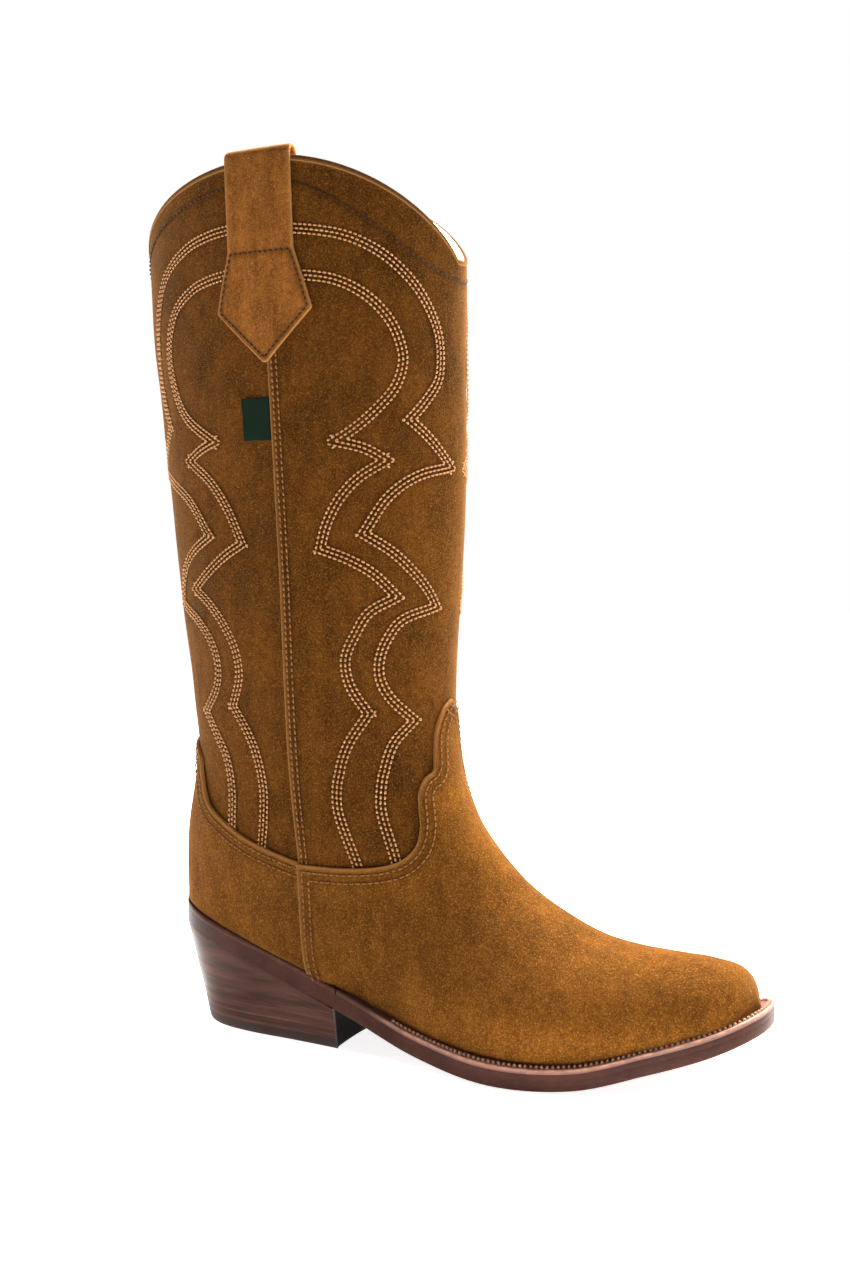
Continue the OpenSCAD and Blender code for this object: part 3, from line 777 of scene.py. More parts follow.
def beside(runs, shift):
    """Rows at a sideways distance from a chain of smooth runs that meet at sharp turns."""
    middle = np.concatenate([points for points, _ in runs])
    rows = []
    for points, out in runs:
        along = unit(np.gradient(points, axis=0))
        across = unit(np.cross(out, along))
        moved = points + shift * across
        reach = min(abs(shift) * 1.7, 3.0)
        steps_on = np.linspace(reach, 0.4, 8)[:, None]
        before = moved[0] - steps_on * along[0]
        after = moved[-1] + steps_on[::-1] * along[-1]
        if abs(shift) > 0.01:
            moved = np.concatenate([before, moved, after])
            out = np.concatenate([np.repeat(out[:1], 8, 0), out, np.repeat(out[-1:], 8, 0)])
            keep = nearest(moved, middle) > abs(shift) * 0.93
            moved = moved[keep]
            out = out[keep]
        if len(moved) > 4:
            breaks = np.flatnonzero(np.linalg.norm(np.diff(moved, axis=0), axis=1) > 2.5) + 1
            rows += [r for r in zip(np.split(moved, breaks), np.split(out, breaks)) if len(r[0]) > 4]
    return rows


def both_sides(half, chain, d, shifts, draw=smooth_run):
    """Rows for the outer and the inner side of the boot, beside a chain of lines."""
    rows = []
    for side in (-1, 1):
        runs = [even_steps(*on_surface(half, draw(part), side, d)) for part in chain]
        for shift in shifts:
            rows += beside(runs, shift * side)
    return rows


straight, upright = even_steps(np.array([[0.0, 0, 0], [10, 0, 0]]), np.array([[0.0, 0, 1], [0, 0, 1]]))
print("points on a 10 mm line", len(straight))

# %% [markdown]
# The shaft carries two bands of three rows on each half: long leaf shapes that come to sharp points and
# swing back. Each list below is one smooth stretch, as station and share, and goes on from the end of the
# stretch before it.

# %% Embroidery
# Offsets of the leather's outer faces from the last, and the spacing of a triple row.
PANEL = 1.9
VAMP = 3.8
TRIPLE = (-1.9, 0, 1.9)
FRONT_WIDE = [
    [(0.63, 0.93), (0.65, 0.8), (0.69, 0.65), (0.76, 0.53), (0.86, 0.42), (1, 0.31), (1.15, 0.23),
     (1.3, 0.18), (1.46, 0.17), (1.6, 0.19), (1.74, 0.27), (1.87, 0.36)],
    [(2, 0.24), (2.18, 0.09)],
    [(2.25, 0.31), (2.4, 0.47), (2.66, 0.59)],
    [(2.79, 0.45), (2.93, 0.34), (3.08, 0.24), (3.22, 0.17)],
    [(3.32, 0.38), (3.49, 0.47), (3.69, 0.51), (3.88, 0.5), (4.07, 0.44), (4.31, 0.31)],
    [(4.56, 0.43), (4.85, 0.49), (5.2, 0.53), (5.6, 0.55), (6.34, 0.52)],
]
FRONT_NARROW = [
    [(0.92, 0.92), (0.94, 0.77), (0.98, 0.66), (1.07, 0.55), (1.2, 0.46), (1.33, 0.41), (1.48, 0.39),
     (1.65, 0.43), (1.8, 0.52), (1.93, 0.62), (2.02, 0.71)],
    [(2.07, 0.58), (2.15, 0.48)],
    [(2.27, 0.61), (2.42, 0.7), (2.6, 0.76), (2.77, 0.79)],
    [(2.85, 0.66), (2.96, 0.54), (3.14, 0.42)],
    [(3.26, 0.56), (3.44, 0.63), (3.66, 0.68), (3.91, 0.66), (4.21, 0.57)],
    [(4.54, 0.67), (4.9, 0.73), (5.3, 0.76), (5.62, 0.75), (6.18, 0.7)],
]
BACK_WIDE = [
    [(0.6, 0.96), (0.6, 0.86), (0.62, 0.77), (0.66, 0.68), (0.75, 0.57), (0.88, 0.48), (1.1, 0.41),
     (1.3, 0.38), (1.5, 0.37), (1.68, 0.39), (1.85, 0.43)],
    [(2, 0.32), (2.15, 0.2)],
    [(2.24, 0.37), (2.4, 0.55), (2.67, 0.67)],
    [(2.81, 0.52), (2.97, 0.42), (3.21, 0.34)],
    [(3.34, 0.5), (3.52, 0.6), (3.75, 0.64), (4, 0.61), (4.27, 0.5)],
    [(4.53, 0.57), (4.85, 0.65), (5.25, 0.69), (5.7, 0.7)],
]
BACK_NARROW = [
    [(0.88, 0.96), (0.88, 0.86), (0.9, 0.77), (0.94, 0.69), (1.04, 0.59), (1.18, 0.53), (1.36, 0.5),
     (1.53, 0.51), (1.68, 0.54), (1.82, 0.6), (1.99, 0.74)],
    [(2.04, 0.66), (2.11, 0.58)],
    [(2.27, 0.7), (2.47, 0.78), (2.73, 0.84)],
    [(2.82, 0.75), (2.94, 0.65), (3.09, 0.53)],
    [(3.2, 0.62), (3.37, 0.7), (3.6, 0.76), (3.86, 0.77), (4.17, 0.72)],
    [(4.45, 0.79), (4.76, 0.84), (5.15, 0.87), (5.5, 0.87), (5.85, 0.86)],
]


def bands(half, d, *chains):
    """Triple rows along each chain, with every stretch started where the one before it ended."""
    rows = []
    for chain in chains:
        full = [chain[0]] + [[before[-1], *after] for before, after in zip(chain, chain[1:])]
        rows += both_sides(half, full, d, TRIPLE)
    return rows


front_bands = bands(FRONT, PANEL, FRONT_WIDE, FRONT_NARROW)
back_bands = bands(REAR, 0, BACK_WIDE, BACK_NARROW)
print("embroidery rows", len(front_bands), "front", len(back_bands), "back")

# %% [markdown]
# Plain seams run beside the edges: two rows inside the edge of the vamp and of the counter, two rows in
# front of each side seam, and one row below the top edge.

# %% Seam rows
TOP_ROW = 9.0
STATION_LENGTH = 68
LINING_FACE = -3.1
fine = np.linspace(0, 1, 260)


def seam(half, lines, d, shifts):
    """Rows beside lines that are given in full."""
    return both_sides(half, lines, d, shifts, np.asarray)


vamp_edge = np.stack([vamp_top(fine), fine], 1)
vamp_side = np.stack([np.linspace(5.93, 7.0, 60), np.full(60, 1.0)], 1)
counter_edge = np.stack([counter_top(fine), fine], 1)
side_line = np.stack([np.linspace(front_top(1.0), 6.0, 300), np.full(300, 1.0)], 1)
front_line = np.stack([front_top(fine) + TOP_ROW / STATION_LENGTH, fine], 1)
back_line = np.stack([back_top(fine) + TOP_ROW / STATION_LENGTH, fine], 1)
vamp_rows = seam(FRONT, [vamp_edge, vamp_side], VAMP, (-3.0, -6.5))
counter_rows = seam(REAR, [counter_edge], PANEL, (3.0, 6.5))
side_rows = seam(FRONT, [side_line], PANEL, (-2.4, -4.8))
top_front_rows = seam(FRONT, [front_line], PANEL, (0,))
top_back_rows = seam(REAR, [back_line], 0, (0,))
lining_front_rows = seam(FRONT, [front_line], LINING_FACE, (0,))
lining_back_rows = seam(REAR, [back_line], LINING_FACE, (0,))
print("vamp", len(vamp_rows), "counter", len(counter_rows), "side", len(side_rows))

# %% [markdown]
# ## Thread
# Each stitch is a little rope that comes up out of the leather, lies on it and goes down again, so a row
# looks like beads and casts its own small shadows. All stitches of a seam are one mesh.

# %% Stitch maker


def stitched(name, rows, material, stitch, gap, radius, inward=1, slot="suede"):
    """One mesh with all the stitches of these rows; inward is -1 on the inside of the boot."""
    rings = 7
    sides = 6
    share = np.linspace(0, 1, rings)
    swell = np.sqrt(np.maximum(1 - np.abs(2 * share - 1) ** 3, 0.02))
    rise = -0.3 + (0.3 + radius * 0.75) * np.sin(np.pi * share) ** 0.6
    turn = np.arange(sides) * 2 * np.pi / sides
    all_points = []
    all_strands = []
    for points, out in rows:
        so_far = distance_along(points)
        count = int((so_far[-1] + gap) / (stitch + gap))
        if count < 1:
            continue
        pitch = (so_far[-1] + gap) / count
        at = np.arange(count)[:, None] * pitch + share[None, :] * (pitch - gap)
        centre = read_along(at, so_far, points)
        normal = inward * unit(read_along(at, so_far, out))
        along = unit(np.gradient(centre, axis=1))
        across = unit(np.cross(along, normal))
        centre = centre + rise[None, :, None] * normal
        ring = centre[:, :, None, :] + radius * swell[None, :, None, None] * (
            np.cos(turn)[None, None, :, None] * across[:, :, None, :]
            + 0.85 * np.sin(turn)[None, None, :, None] * normal[:, :, None, :])
        all_points.append(ring.reshape(-1, 3))
        length = np.broadcast_to(at[:, :, None], ring.shape[:3])
        angle = np.broadcast_to(turn[None, None, :], ring.shape[:3])
        all_strands.append(np.stack([length, angle, np.zeros(length.shape)], -1).reshape(-1, 3))
    points = np.concatenate(all_points)
    count = len(points) // (rings * sides)
    start = (np.arange(count) * rings * sides)[:, None, None]
    ring_start = (np.arange(rings - 1) * sides)[None, :, None]
    side = np.arange(sides)[None, None, :]
    after = (side + 1) % sides
    a = start + ring_start + side
    b = start + ring_start + after
    walls = np.stack([a, b, b + sides, a + sides], -1).reshape(-1, 4)
    caps = []
    for i in range(count):
        first = i * rings * sides
        caps.append(list(range(first + sides - 1, first - 1, -1)))
        last = first + (rings - 1) * sides
        caps.append(list(range(last, last + sides)))
    if inward < 0:
        walls = walls[:, ::-1]
    masks = {"strand": np.concatenate(all_strands)}
    return new_piece(name, points, walls.tolist() + caps, material, slot=slot, masks=masks)


def marks_of(*groups):
    return np.concatenate([points for group in groups for points, _ in group])[::2]


# Each seam with its thread, the length of a stitch, the gap after it and the thread's radius.
SEAMS = [
    ("embroidery_front", front_bands, cream_thread, 1.8, 0.42, 0.45),
    ("embroidery_back", back_bands, cream_thread, 1.8, 0.42, 0.45),
    ("stitches_vamp", vamp_rows, tan_thread, 2.3, 0.5, 0.38),
    ("stitches_counter", counter_rows, tan_thread, 2.3, 0.5, 0.38),
    ("stitches_side_seam", side_rows, tan_thread, 2.2, 0.5, 0.4),
    ("stitches_top_front", top_front_rows, dark_thread, 2.2, 0.6, 0.38),
    ("stitches_top_back", top_back_rows, dark_thread, 2.2, 0.6, 0.38),
    ("stitches_lining_front", lining_front_rows, tan_thread, 2.3, 0.5, 0.34, -1, "lining"),
    ("stitches_lining_back", lining_back_rows, tan_thread, 2.3, 0.5, 0.34, -1, "lining"),
]
for sewing in SEAMS:
    stitched(*sewing)

# %% [markdown]
# ## The shaft
# The back panel goes round the calf and tucks under the front panel at both sides. The front panel laps
# over it, and its cut edge shows as a thin paler line, raw hide with a painted highlight. Both have a few
# slow waves of half a millimetre, because soft suede on a hollow shaft is never quite even.

# %% Shaft panels


def front_place(top, foot):
    def place(u, v, d):
        p = 2 * v - 1
        return onto_seat(front_skin(even(top(p), foot(p), u), p, d))
    return place


def back_place(top, foot, reach):
    def place(u, v, d):
        p = (2 * v - 1) * reach
        return onto_seat(back_skin(even(top(p), foot(p), u), p, d))
    return place


def slow_waves(size, amount, seed, hold=4.0):
    def shape(points, inside):
        return amount * ripple(points, size, seed) * np.clip(inside / hold, 0, 1)
    return shape


PITCH = 1.25
leather("shaft_front", front_place(front_top, panel_foot), crowded(262, PITCH), crowded(225, PITCH),
        0.05, PANEL, shaft_suede, marks_of(front_bands, side_rows, top_front_rows), slow_waves(46, 0.45, 3),
        slot="suede", stands_for=["shaft_front_panel"])
back_foot = lambda p: 5.9 + 0.3 * np.abs(p)
leather("shaft_back", back_place(back_top, back_foot, 1.13), crowded(250, PITCH), crowded(290, PITCH),
        -1.6, 0, shaft_suede, marks_of(back_bands, top_back_rows), slow_waves(46, 0.4, 4), slot="suede",
        stands_for=["shaft_back_panel"])

# %% [markdown]
# ## The linings
# Tan leather lines the shaft. It shows inside the top edge and down to the sock liner, so it is a smooth
# sheet too, set a little finer than the frame's own.

# %% Linings
LINING_PITCH = 3.5
lining_foot = lambda p: np.full(np.shape(p), 6.99)
front_lined = front_place(lambda p: front_top(p) + 0.01, panel_foot)
back_lined = back_place(lambda p: back_top(p) + 0.01, lining_foot, 0.995)
LINED = [("front", front_lined, 262, 225, 5), ("back", back_lined, 330, 270, 6)]
for name, place, tall, wide, seed in LINED:
    leather("lining_" + name, place, crowded(tall, LINING_PITCH), crowded(wide, LINING_PITCH),
            LINING_FACE, -1.75, lining_finish, None, slow_waves(50, 0.15, seed), slot="lining",
            stands_for=["shaft_" + name + "_lining"])

# %% [markdown]
# ## The top edge
# At the top the suede is turned in over the lining, and the lining's own edge lies beside it. Seen from
# above they are two narrow bands, dark suede outside and tan leather inside. Each is a strip that follows
# the top edge: up one side, over in a round bend, and a short way down the other side.

# %% Top edge


def bent_over(skin, top, outer, inner):
    """Place for a strip that bends over the top edge between two offsets."""
    bend = np.linspace(0, np.pi, 11)
    middle = (outer + inner) / 2
    half = (outer - inner) / 2
    d_line = np.concatenate([[outer] * 3, middle + half * np.cos(bend), [inner] * 3])
    z_line = np.concatenate([[-1.6, -0.8, -0.5], 0.7 * np.sin(bend), [-0.3, -0.6, -0.9]])
    slope = np.gradient(d_line)
    climb = np.gradient(z_line)
    size = np.hypot(slope, climb)
    knots = np.linspace(0, 1, len(d_line))

    def place(u, v, d):
        p = 2 * v - 1
        lines = (d_line, z_line, climb / size, -slope / size)
        offset, rise, away, up = (np.interp(u, knots, line) for line in lines)
        points = skin(top(p), p, offset + d * away)
        points[..., 2] += rise + d * up
        return points
    return place


RIMS = [
    ("turned_edge_front", front_skin, front_top, 2.0, 0.8, dark_suede, "suede"),
    ("lining_rim_front", front_skin, front_top, 1.1, -3.2, lining_finish, "lining"),
    ("turned_edge_back", back_skin, back_top, 0.1, -1.1, dark_suede, "suede"),
    ("lining_rim_back", back_skin, back_top, -0.8, -3.2, lining_finish, "lining"),
]
for name, skin, top, outer, inner, material, slot in RIMS:
    leather(name, bent_over(skin, top, outer, inner), np.linspace(0, 1, 34), crowded(280, 1.6), 0.0, 0.4,
            material, soft=0.2, slot=slot)

# %% [markdown]
# ## Vamp and counter
# The vamp is one piece of suede lasted over the instep and the toes. Its tongue climbs the front of the
# ankle and its lower edge meets the welt. At the toe the grid closes in a small dome, because the two
# edges of the vamp meet there.

# %% Vamp
TOE = np.array([265.7, 12.5, float(under_z(265.7)) + SEAT])


def vamp_place(u, v, d):
    p = 2 * v - 1
    t = even(vamp_top(p), TOE_STATION, np.minimum(u, 1))
    points = onto_seat(front_skin(t, p, d))
    spoke = points - TOE
    length = np.linalg.norm(spoke, axis=-1, keepdims=True)
    w = np.clip(u - 1, 0, 1)[..., None]
    ahead = np.zeros_like(spoke)
    ahead[..., 0] = 1
    swung = unit(unit(spoke) * (1 - w) + ahead * w)
    reach = length * (1 - w) + (0.3 + np.asarray(d)[..., None]) * w
    dome = onto_seat(TOE + swung * reach)
    return np.where(w > 0, dome, points)


FOOT_PITCH = 1.4
# Past 1 the rows belong to the dome.
vamp_u = np.concatenate([crowded(262, FOOT_PITCH)[:-4], [0.9985, 1, 1.25, 1.5, 1.75, 1.97]])
leather("vamp_upper", vamp_place, vamp_u, crowded(180, FOOT_PITCH), 1.95, VAMP, foot_suede,
        marks_of(vamp_rows), slow_waves(38, 0.3, 8), slot="suede", stands_for=["vamp"])


def counter_place(u, v, d):
    q = 2 * v - 1
    t = even(counter_top(q), HEEL_STATION, u)
    reach = np.interp(t, [6.25, 6.5], [1.0, 1.12])
    return onto_seat(back_skin(t, q * reach, d))


leather("counter_upper", counter_place, crowded(110, FOOT_PITCH), crowded(210, FOOT_PITCH), 0.05, PANEL,
        foot_suede, marks_of(counter_rows), slow_waves(34, 0.3, 9), slot="suede", stands_for=["counter"])

# %% [markdown]
# ## Pull straps
# Each strap is one length of suede. Outside, it widens into a pointed end that is sewn down. Above that it
# runs free over the top edge and comes down inside. Its path is a line in height and offset, and the
# thickness is laid off at right angles to that path, so the fold keeps its thickness.

# %% Pull straps
FOLD_Z = PEAK + 0.7
FOLD_MID = -0.6
FOLD_R = 3.6
swing = np.linspace(0, np.pi, 15)
strap_z = np.concatenate([
    [299, 310, 321, 334, 347, 360, 374], FOLD_Z + FOLD_R * np.sin(swing), [374, 361, 348]])
strap_d = np.concatenate([[3.0] * 7, FOLD_MID + FOLD_R * np.cos(swing), [FOLD_MID - FOLD_R] * 3])
strap_half = np.concatenate([[0.9, 12.2, 23.5, 19.8, 16, 16, 16], [16] * 15, [15.5] * 3])
strap_run = np.concatenate([[0], np.cumsum(np.hypot(np.diff(strap_z), np.diff(strap_d)))])
strap_length = strap_run[-1]
strap_way_z = np.gradient(strap_z, strap_run)
strap_way_d = np.gradient(strap_d, strap_run)
# Distance from a side seam to the middle of the front and to the middle of the back.
TO_FRONT = 107
TO_BACK = 138


def by_seam(side, a, z, d):
    """A point beside a side seam: a runs forward, negative a runs back."""
    ahead = front_skin(station_of(z), side * np.clip(1 - a / TO_FRONT, 0, 1), d)
    behind = back_skin(station_of(z), side * np.clip(1 + a / TO_BACK, 0, 1), d)
    return np.where((a >= 0)[..., None], ahead, behind)


def strap_place(side):
    def place(u, v, d):
        lines = (strap_z, strap_d, strap_half, strap_way_z, strap_way_d)
        z, depth, half, way_z, way_d = (np.interp(u * strap_length, strap_run, line) for line in lines)
        return by_seam(side, (2 * v - 1) * half, z - d * way_d, depth + d * way_z)
    return place


def strap_rows(side):
    """A row round the pointed end, a row across its top."""
    corners = np.array([(300.9, 0), (321.4, 21.4), (334, 18), (346, 14.4), (346, -14.4), (334, -18),
                        (321.4, -21.4), (300.9, 0)])
    at = np.linspace(0, len(corners) - 1, 300)
    z, a = (np.interp(at, np.arange(len(corners)), column) for column in corners.T)
    low = by_seam(side, a, z, np.full(300, 3.8))
    high = by_seam(side, a, z, np.full(300, 4.8))
    return [even_steps(low, unit(high - low), 0.6)]


for side, word in ((-1, "outer"), (1, "inner")):
    rows = strap_rows(side)
    stitched("stitches_strap_" + word, rows, dark_thread, 2.0, 0.6, 0.42)
    leather("strap_" + word, strap_place(side), crowded(strap_length, 0.9), crowded(32, 0.9), -0.8, 0.8,
            strap_suede, marks_of(rows), slow_waves(30, 0.2, 11 + side), slot="suede",
            stands_for=["pull_strap_" + word])

# %% [markdown]
# ## Side tag
# A small woven flag is caught in the outer side seam. It is a folded piece of ribbon, left blank, and it
# stands a little away from the leather at its free end. It rides on its own body.

# %% Side tag


def tag_place(u, v, d):
    a = -0.6 - 14 * v
    z = 265 + 19 * u
    lift = 1.3 * v**2 + 0.12 * np.sin(u * 9) * v
    return by_seam(-1, a, z, 0.75 + d + lift)


leather("side_flag", tag_place, crowded(19, 0.6), crowded(14, 0.6), -0.38, 0.38, tag_finish, soft=0.3,
        slot="tag", body="tag", stands_for=["side_tag"])

# %% [markdown]
# ## The sole
# Outsole and midsole are flat layers cut to the same outline. A ring of points follows the outline, and
# the layer is a stack of such rings: drawn in at the bottom, full in the middle, drawn in again at the top.
# That gives the soft edge of a sanded and burnished sole.

# %% Sole outline
SIDE_POINTS = 150


def x_at(share):
    """Distance from the back at a share of the outline, with the points crowded at both ends."""
    return SOLE_LENGTH * (1 - np.cos(np.pi * share)) / 2


def share_at(x):
    return math.acos(1 - 2 * x / SOLE_LENGTH) / math.pi


def rim_points(s, side, inset=0.0):
    """Points of the sole outline, moved inwards by inset."""
    def edge(share):
        row = row_at(SOLE, 12 * share)
        y = np.where(side < 0, row[..., 2] - row[..., 0], row[..., 2] + row[..., 1])
        return np.stack([x_at(share), y], -1)
    way = unit(edge(np.minimum(s + 0.002, 1)) - edge(np.maximum(s - 0.002, 0)))
    normal = np.where((side < 0)[..., None], np.stack([-way[..., 1], way[..., 0]], -1),
                      np.stack([way[..., 1], -way[..., 0]], -1))
    return edge(s) + np.asarray(inset)[..., None] * normal


RIM_SHARE = np.concatenate([np.linspace(0, 1, SIDE_POINTS), np.linspace(1, 0, SIDE_POINTS)])
# Over the heel the bottom edge stays sharp, so that sole and heel meet without a gap.
FREE_EDGE = np.interp(x_at(RIM_SHARE), [84, 104], [0.08, 1])


def sole_ring(inset, height):
    side = np.repeat([-1.0, 1.0], SIDE_POINTS)
    flat = rim_points(RIM_SHARE, side, inset * FREE_EDGE)
    z = under_z(flat[:, 0]) + height
    return np.column_stack([flat, z])


def stack(name, rings, material, worn, ends, shade=0.0, fade=1.0, **facts):
    """A solid from a stack of equal rings; ends says how its two ends are closed."""
    size = len(rings[0])
    i = np.arange(size)
    after = (i + 1) % size
    lows = np.arange(len(rings) - 1) * size
    walls = np.concatenate([
        np.stack([low + i, low + after, low + size + after, low + size + i], 1) for low in lows])
    points = np.concatenate(rings)
    top = (len(rings) - 1) * size
    if ends == "pairs":
        k = np.arange(size // 2 - 1)
        under = np.stack([k, size - 1 - k, size - 2 - k, k + 1], 1)
        faces = facing_out(points, np.concatenate([walls, under, under[:, ::-1] + top])).tolist()
    else:
        faces = capped(points, walls, [list(i[::-1]), list(top + i)])
    masks = {
        "edge": np.outer(worn, np.broadcast_to(fade, size)).ravel(),
        "shade": np.tile(np.broadcast_to(shade, size), len(rings)),
    }
    return new_piece(name, points, faces, material, masks=masks, **facts)


def slab_levels(low, high, soft, lid):
    turn = np.linspace(0, np.pi / 2, 5)
    under = [(soft * (1 - math.sin(a)), low + soft * (1 - math.cos(a))) for a in turn]
    over = [(lid * (1 - math.cos(a)), high - lid * (1 - math.sin(a))) for a in turn]
    return [(soft + 1.2, low)] + under + over + [(lid + 1.2, high)]


def slab(name, low, high, soft, lid, node):
    rings = [sole_ring(*level) for level in slab_levels(low, high, soft, lid)]
    worn = np.array([0, 0.3, 0.8, 1, 0.5, 0.1, 0, 0, 0, 0, 0, 0]) * min(1, soft)
    stack(name, rings, smooth["stained_sole_edge"], worn, "pairs", 0.0, FREE_EDGE, slot="sole_leather",
          stands_for=[node])


MIDSOLE_LOW = 4.62
WELT_LOW = 7.02
slab("outsole_leather", 0, MIDSOLE_LOW, 0.8, 0.05, "outsole")
slab("midsole_leather", MIDSOLE_LOW, WELT_LOW, 0.05, 0.05, "midsole")

# %% [markdown]
# ## Welt and rand
# The welt is a strip between the vamp and the midsole. It shows as a narrow shelf with a shallow channel,
# and the thread that holds the sole lies in that channel. Behind the breast of the heel the same strip goes
# on as a plain rand. Both are one cross-section drawn along the outline.

# %% Welt and rand
BREAST = 94.5
BREAST_S = share_at(BREAST)
# How far in the channel of the welt lies, and where its thread starts.
CHANNEL = 2.1
SEWN_FROM = 124
# The welt is darker towards the heel; the darkening fades out between these distances from the back.
WAIST = (112, 132)


def round_trip(shares, first_side):
    """Shares along one side and back along the other, and which side each is on."""
    count = len(shares)
    return np.concatenate([shares, shares[-2::-1]]), np.repeat([first_side, -first_side], [count, count - 1])


def strip(name, share, side, profile, material, slot, node, worn):
    """A cross-section, given as inset and height, drawn along the outline."""
    rings = []
    for inset, height in profile:
        flat = rim_points(share, side, np.full(len(share), float(inset)))
        rings.append(np.column_stack([flat, under_z(flat[:, 0]) + height]))
    size = len(share)
    count = len(profile)
    points = np.concatenate(rings)
    i = np.arange(size - 1)
    pairs = [(k * size, (k + 1) % count * size) for k in range(count)]
    walls = np.concatenate([np.stack([low + i, low + i + 1, nxt + i + 1, nxt + i], 1) for low, nxt in pairs])
    ends = [[k * size for k in range(count)], [k * size + size - 1 for k in range(count)][::-1]]
    # How much darker the welt is, from full at the heel end to none past the waist.
    waist_dark = np.interp(rings[0][:, 0], WAIST, [1, 0])
    masks = {"edge": np.repeat(np.array(worn, float), size), "shade": np.tile(waist_dark, count)}
    return new_piece(name, points, capped(points, walls, ends), material, slot=slot, stands_for=[node],
                     masks=masks)


OUTER_EDGE = [(0.08, WELT_LOW), (0.02, 7.15), (0, 7.6), (0, 8.4), (0.15, 8.8), (0.5, 9.05)]
welt_profile = OUTER_EDGE + [
    (1.0, 9.12), (CHANNEL - 0.7, 9.1), (CHANNEL - 0.3, 8.9), (CHANNEL, 8.82), (CHANNEL + 0.3, 8.9),
    (CHANNEL + 0.7, 9.1), (4, 9.1), (9.4, 9.1), (9.4, WELT_LOW)]
rand_profile = OUTER_EDGE + [(1.2, 9.12), (4, 9.1), (8.4, 9.1), (8.4, WELT_LOW)]
strip("welt_strip", *round_trip(np.linspace(BREAST_S + 0.004, 1, 190), -1.0), welt_profile,
      smooth["waxed_welt"], "welt", "welt", [0, 0, 0.1, 0.7, 1, 1, 0.5, 0, 0, 0, 0, 0, 0, 0, 0])
strip("rand_strip", *round_trip(np.linspace(0, BREAST_S + 0.002, 120)[::-1], 1.0), rand_profile,
      smooth["stained_rand"], "sole_leather", "heel_rand", [0.2, 0.5, 0.5, 0.5, 0.8, 0.8, 0.3, 0, 0, 0])

sewn_share, sewn_side = round_trip(np.linspace(share_at(SEWN_FROM), 1, 600), -1.0)
sewn_flat = rim_points(sewn_share, sewn_side, np.full(len(sewn_share), CHANNEL))
sewn_line = np.column_stack([sewn_flat, under_z(sewn_flat[:, 0]) + 8.95])
upward = np.tile([0.0, 0.0, 1.0], (len(sewn_line), 1))
stitched("stitches_welt", [even_steps(sewn_line, upward, 0.6)], welt_thread, 1.6, 0.6, 0.8, slot="welt")

# %% [markdown]
# ## The heel
# A stacked heel is lifts of leather, glued and nailed, then sanded to one slope. Two wedges fill the curve
# of the seat, three level lifts follow, and a rubber top lift stands on the ground. The front of the heel,
# the breast, is cut in a shallow hollow. Each lift is a stack of rings again, with a slight groove where
# two lifts meet.

# %% Heel
# On the ground the heel starts this far forward and is this share of its width at the seat.
HEEL_BACK = 13
HEEL_TAPER = 0.9
HOLLOW = 2
HEEL_SIDE = 46
BREAST_POINTS = 22


def heel_ring(inset, height_of):
    """One outline of the heel: round the back from breast to breast, then across the hollow breast."""
    s = BREAST_S * np.linspace(1, 0, HEEL_SIDE)
    x_seat = x_at(s)
    row = row_at(SOLE, 12 * s)
    z = height_of(x_seat)
    f = z / (row[:, 3] - 0.2)
    x = mix(HEEL_BACK + x_seat * (BREAST - HEEL_BACK) / BREAST, x_seat, f)
    half = mix(HEEL_TAPER, 1, f) * row[:, 0]
    outer = np.column_stack([x, -half, z])
    inner = np.column_stack([x, half, z])[::-1]
    side = np.concatenate([outer, inner[1:]])
    way = unit(np.gradient(side[:, :2], axis=0))
    side[:, 0] += way[:, 1] * inset
    side[:, 1] -= way[:, 0] * inset
    v = np.linspace(1, -1, BREAST_POINTS + 2)[1:-1]
    hollow = HOLLOW * (1 - v**2) + inset
    corner = side[-1]
    first = side[0]
    y = mix(first[1], corner[1], (v + 1) / 2)
    breast_line = np.column_stack([corner[0] - hollow, y, np.full(len(v), corner[2])])
    return np.concatenate([side, breast_line])


# The breast, the last points of each ring, is darkened with painted shade.
BREAST_SHADE = np.repeat([0.0, 1.0], [2 * HEEL_SIDE - 1, BREAST_POINTS])
LIFTS = [
    ("top_lift_rubber", 0, 4.6, "top_lift", rubber_finish, "rubber"),
    ("lift_lower", 4.6, 8.4, "heel_lift_lower", heel_finish, "heel_stack"),
    ("lift_middle", 8.4, 12.2, "heel_lift_middle", heel_finish, "heel_stack"),
    ("lift_upper", 12.2, 16.0, "heel_lift_upper", heel_finish, "heel_stack"),
]
for name, low, high, node, material, slot in LIFTS:
    soft = 0.9 if low == 0 else 0.05
    levels = [(soft + 0.3, low), (soft, low), (soft * 0.3, low + soft * 0.3), (0, low + soft)]
    levels += [(0, mix(low, high, 0.5)), (0, high - 0.1), (0.02, high - 0.03), (0.05, high), (0.5, high)]
    rings = [heel_ring(inset, lambda x, z=z: np.full(len(x), z)) for inset, z in levels]
    stack(name, rings, material, [0.2, 0.8, 1, 0.6, 0, 0, 0, 0, 0], "plates", BREAST_SHADE, slot=slot,
          stands_for=[node])

WEDGE_LOW = 16.0
for name, low, high in (("wedge_lower", 0, 0.5), ("wedge_upper", 0.5, 1)):
    levels = [(0.5, low), (0.05, low), (0.02, low + 0.004), (0, low + 0.01), (0, mix(low, high, 0.35)),
              (0, mix(low, high, 0.7)), (0, high - 0.01), (0.02, high - 0.004), (0.05, high), (0.5, high)]
    rings = [heel_ring(inset, lambda x, f=f: mix(WEDGE_LOW, under_z(x), f)) for inset, f in levels]
    stack(name, rings, heel_finish, [0] * 10, "plates", BREAST_SHADE, slot="heel_stack",
          stands_for=["heel_" + name])

# %% [markdown]
# ## Inside the foot
# The sock liner is the soft leather sole inside the boot, seen from above down the shaft. It is a thin pad
# with a rounded edge, lofted along the foot.

# %% Sock liner
HEEL_ROWS = 9
LAST_ROW = 29


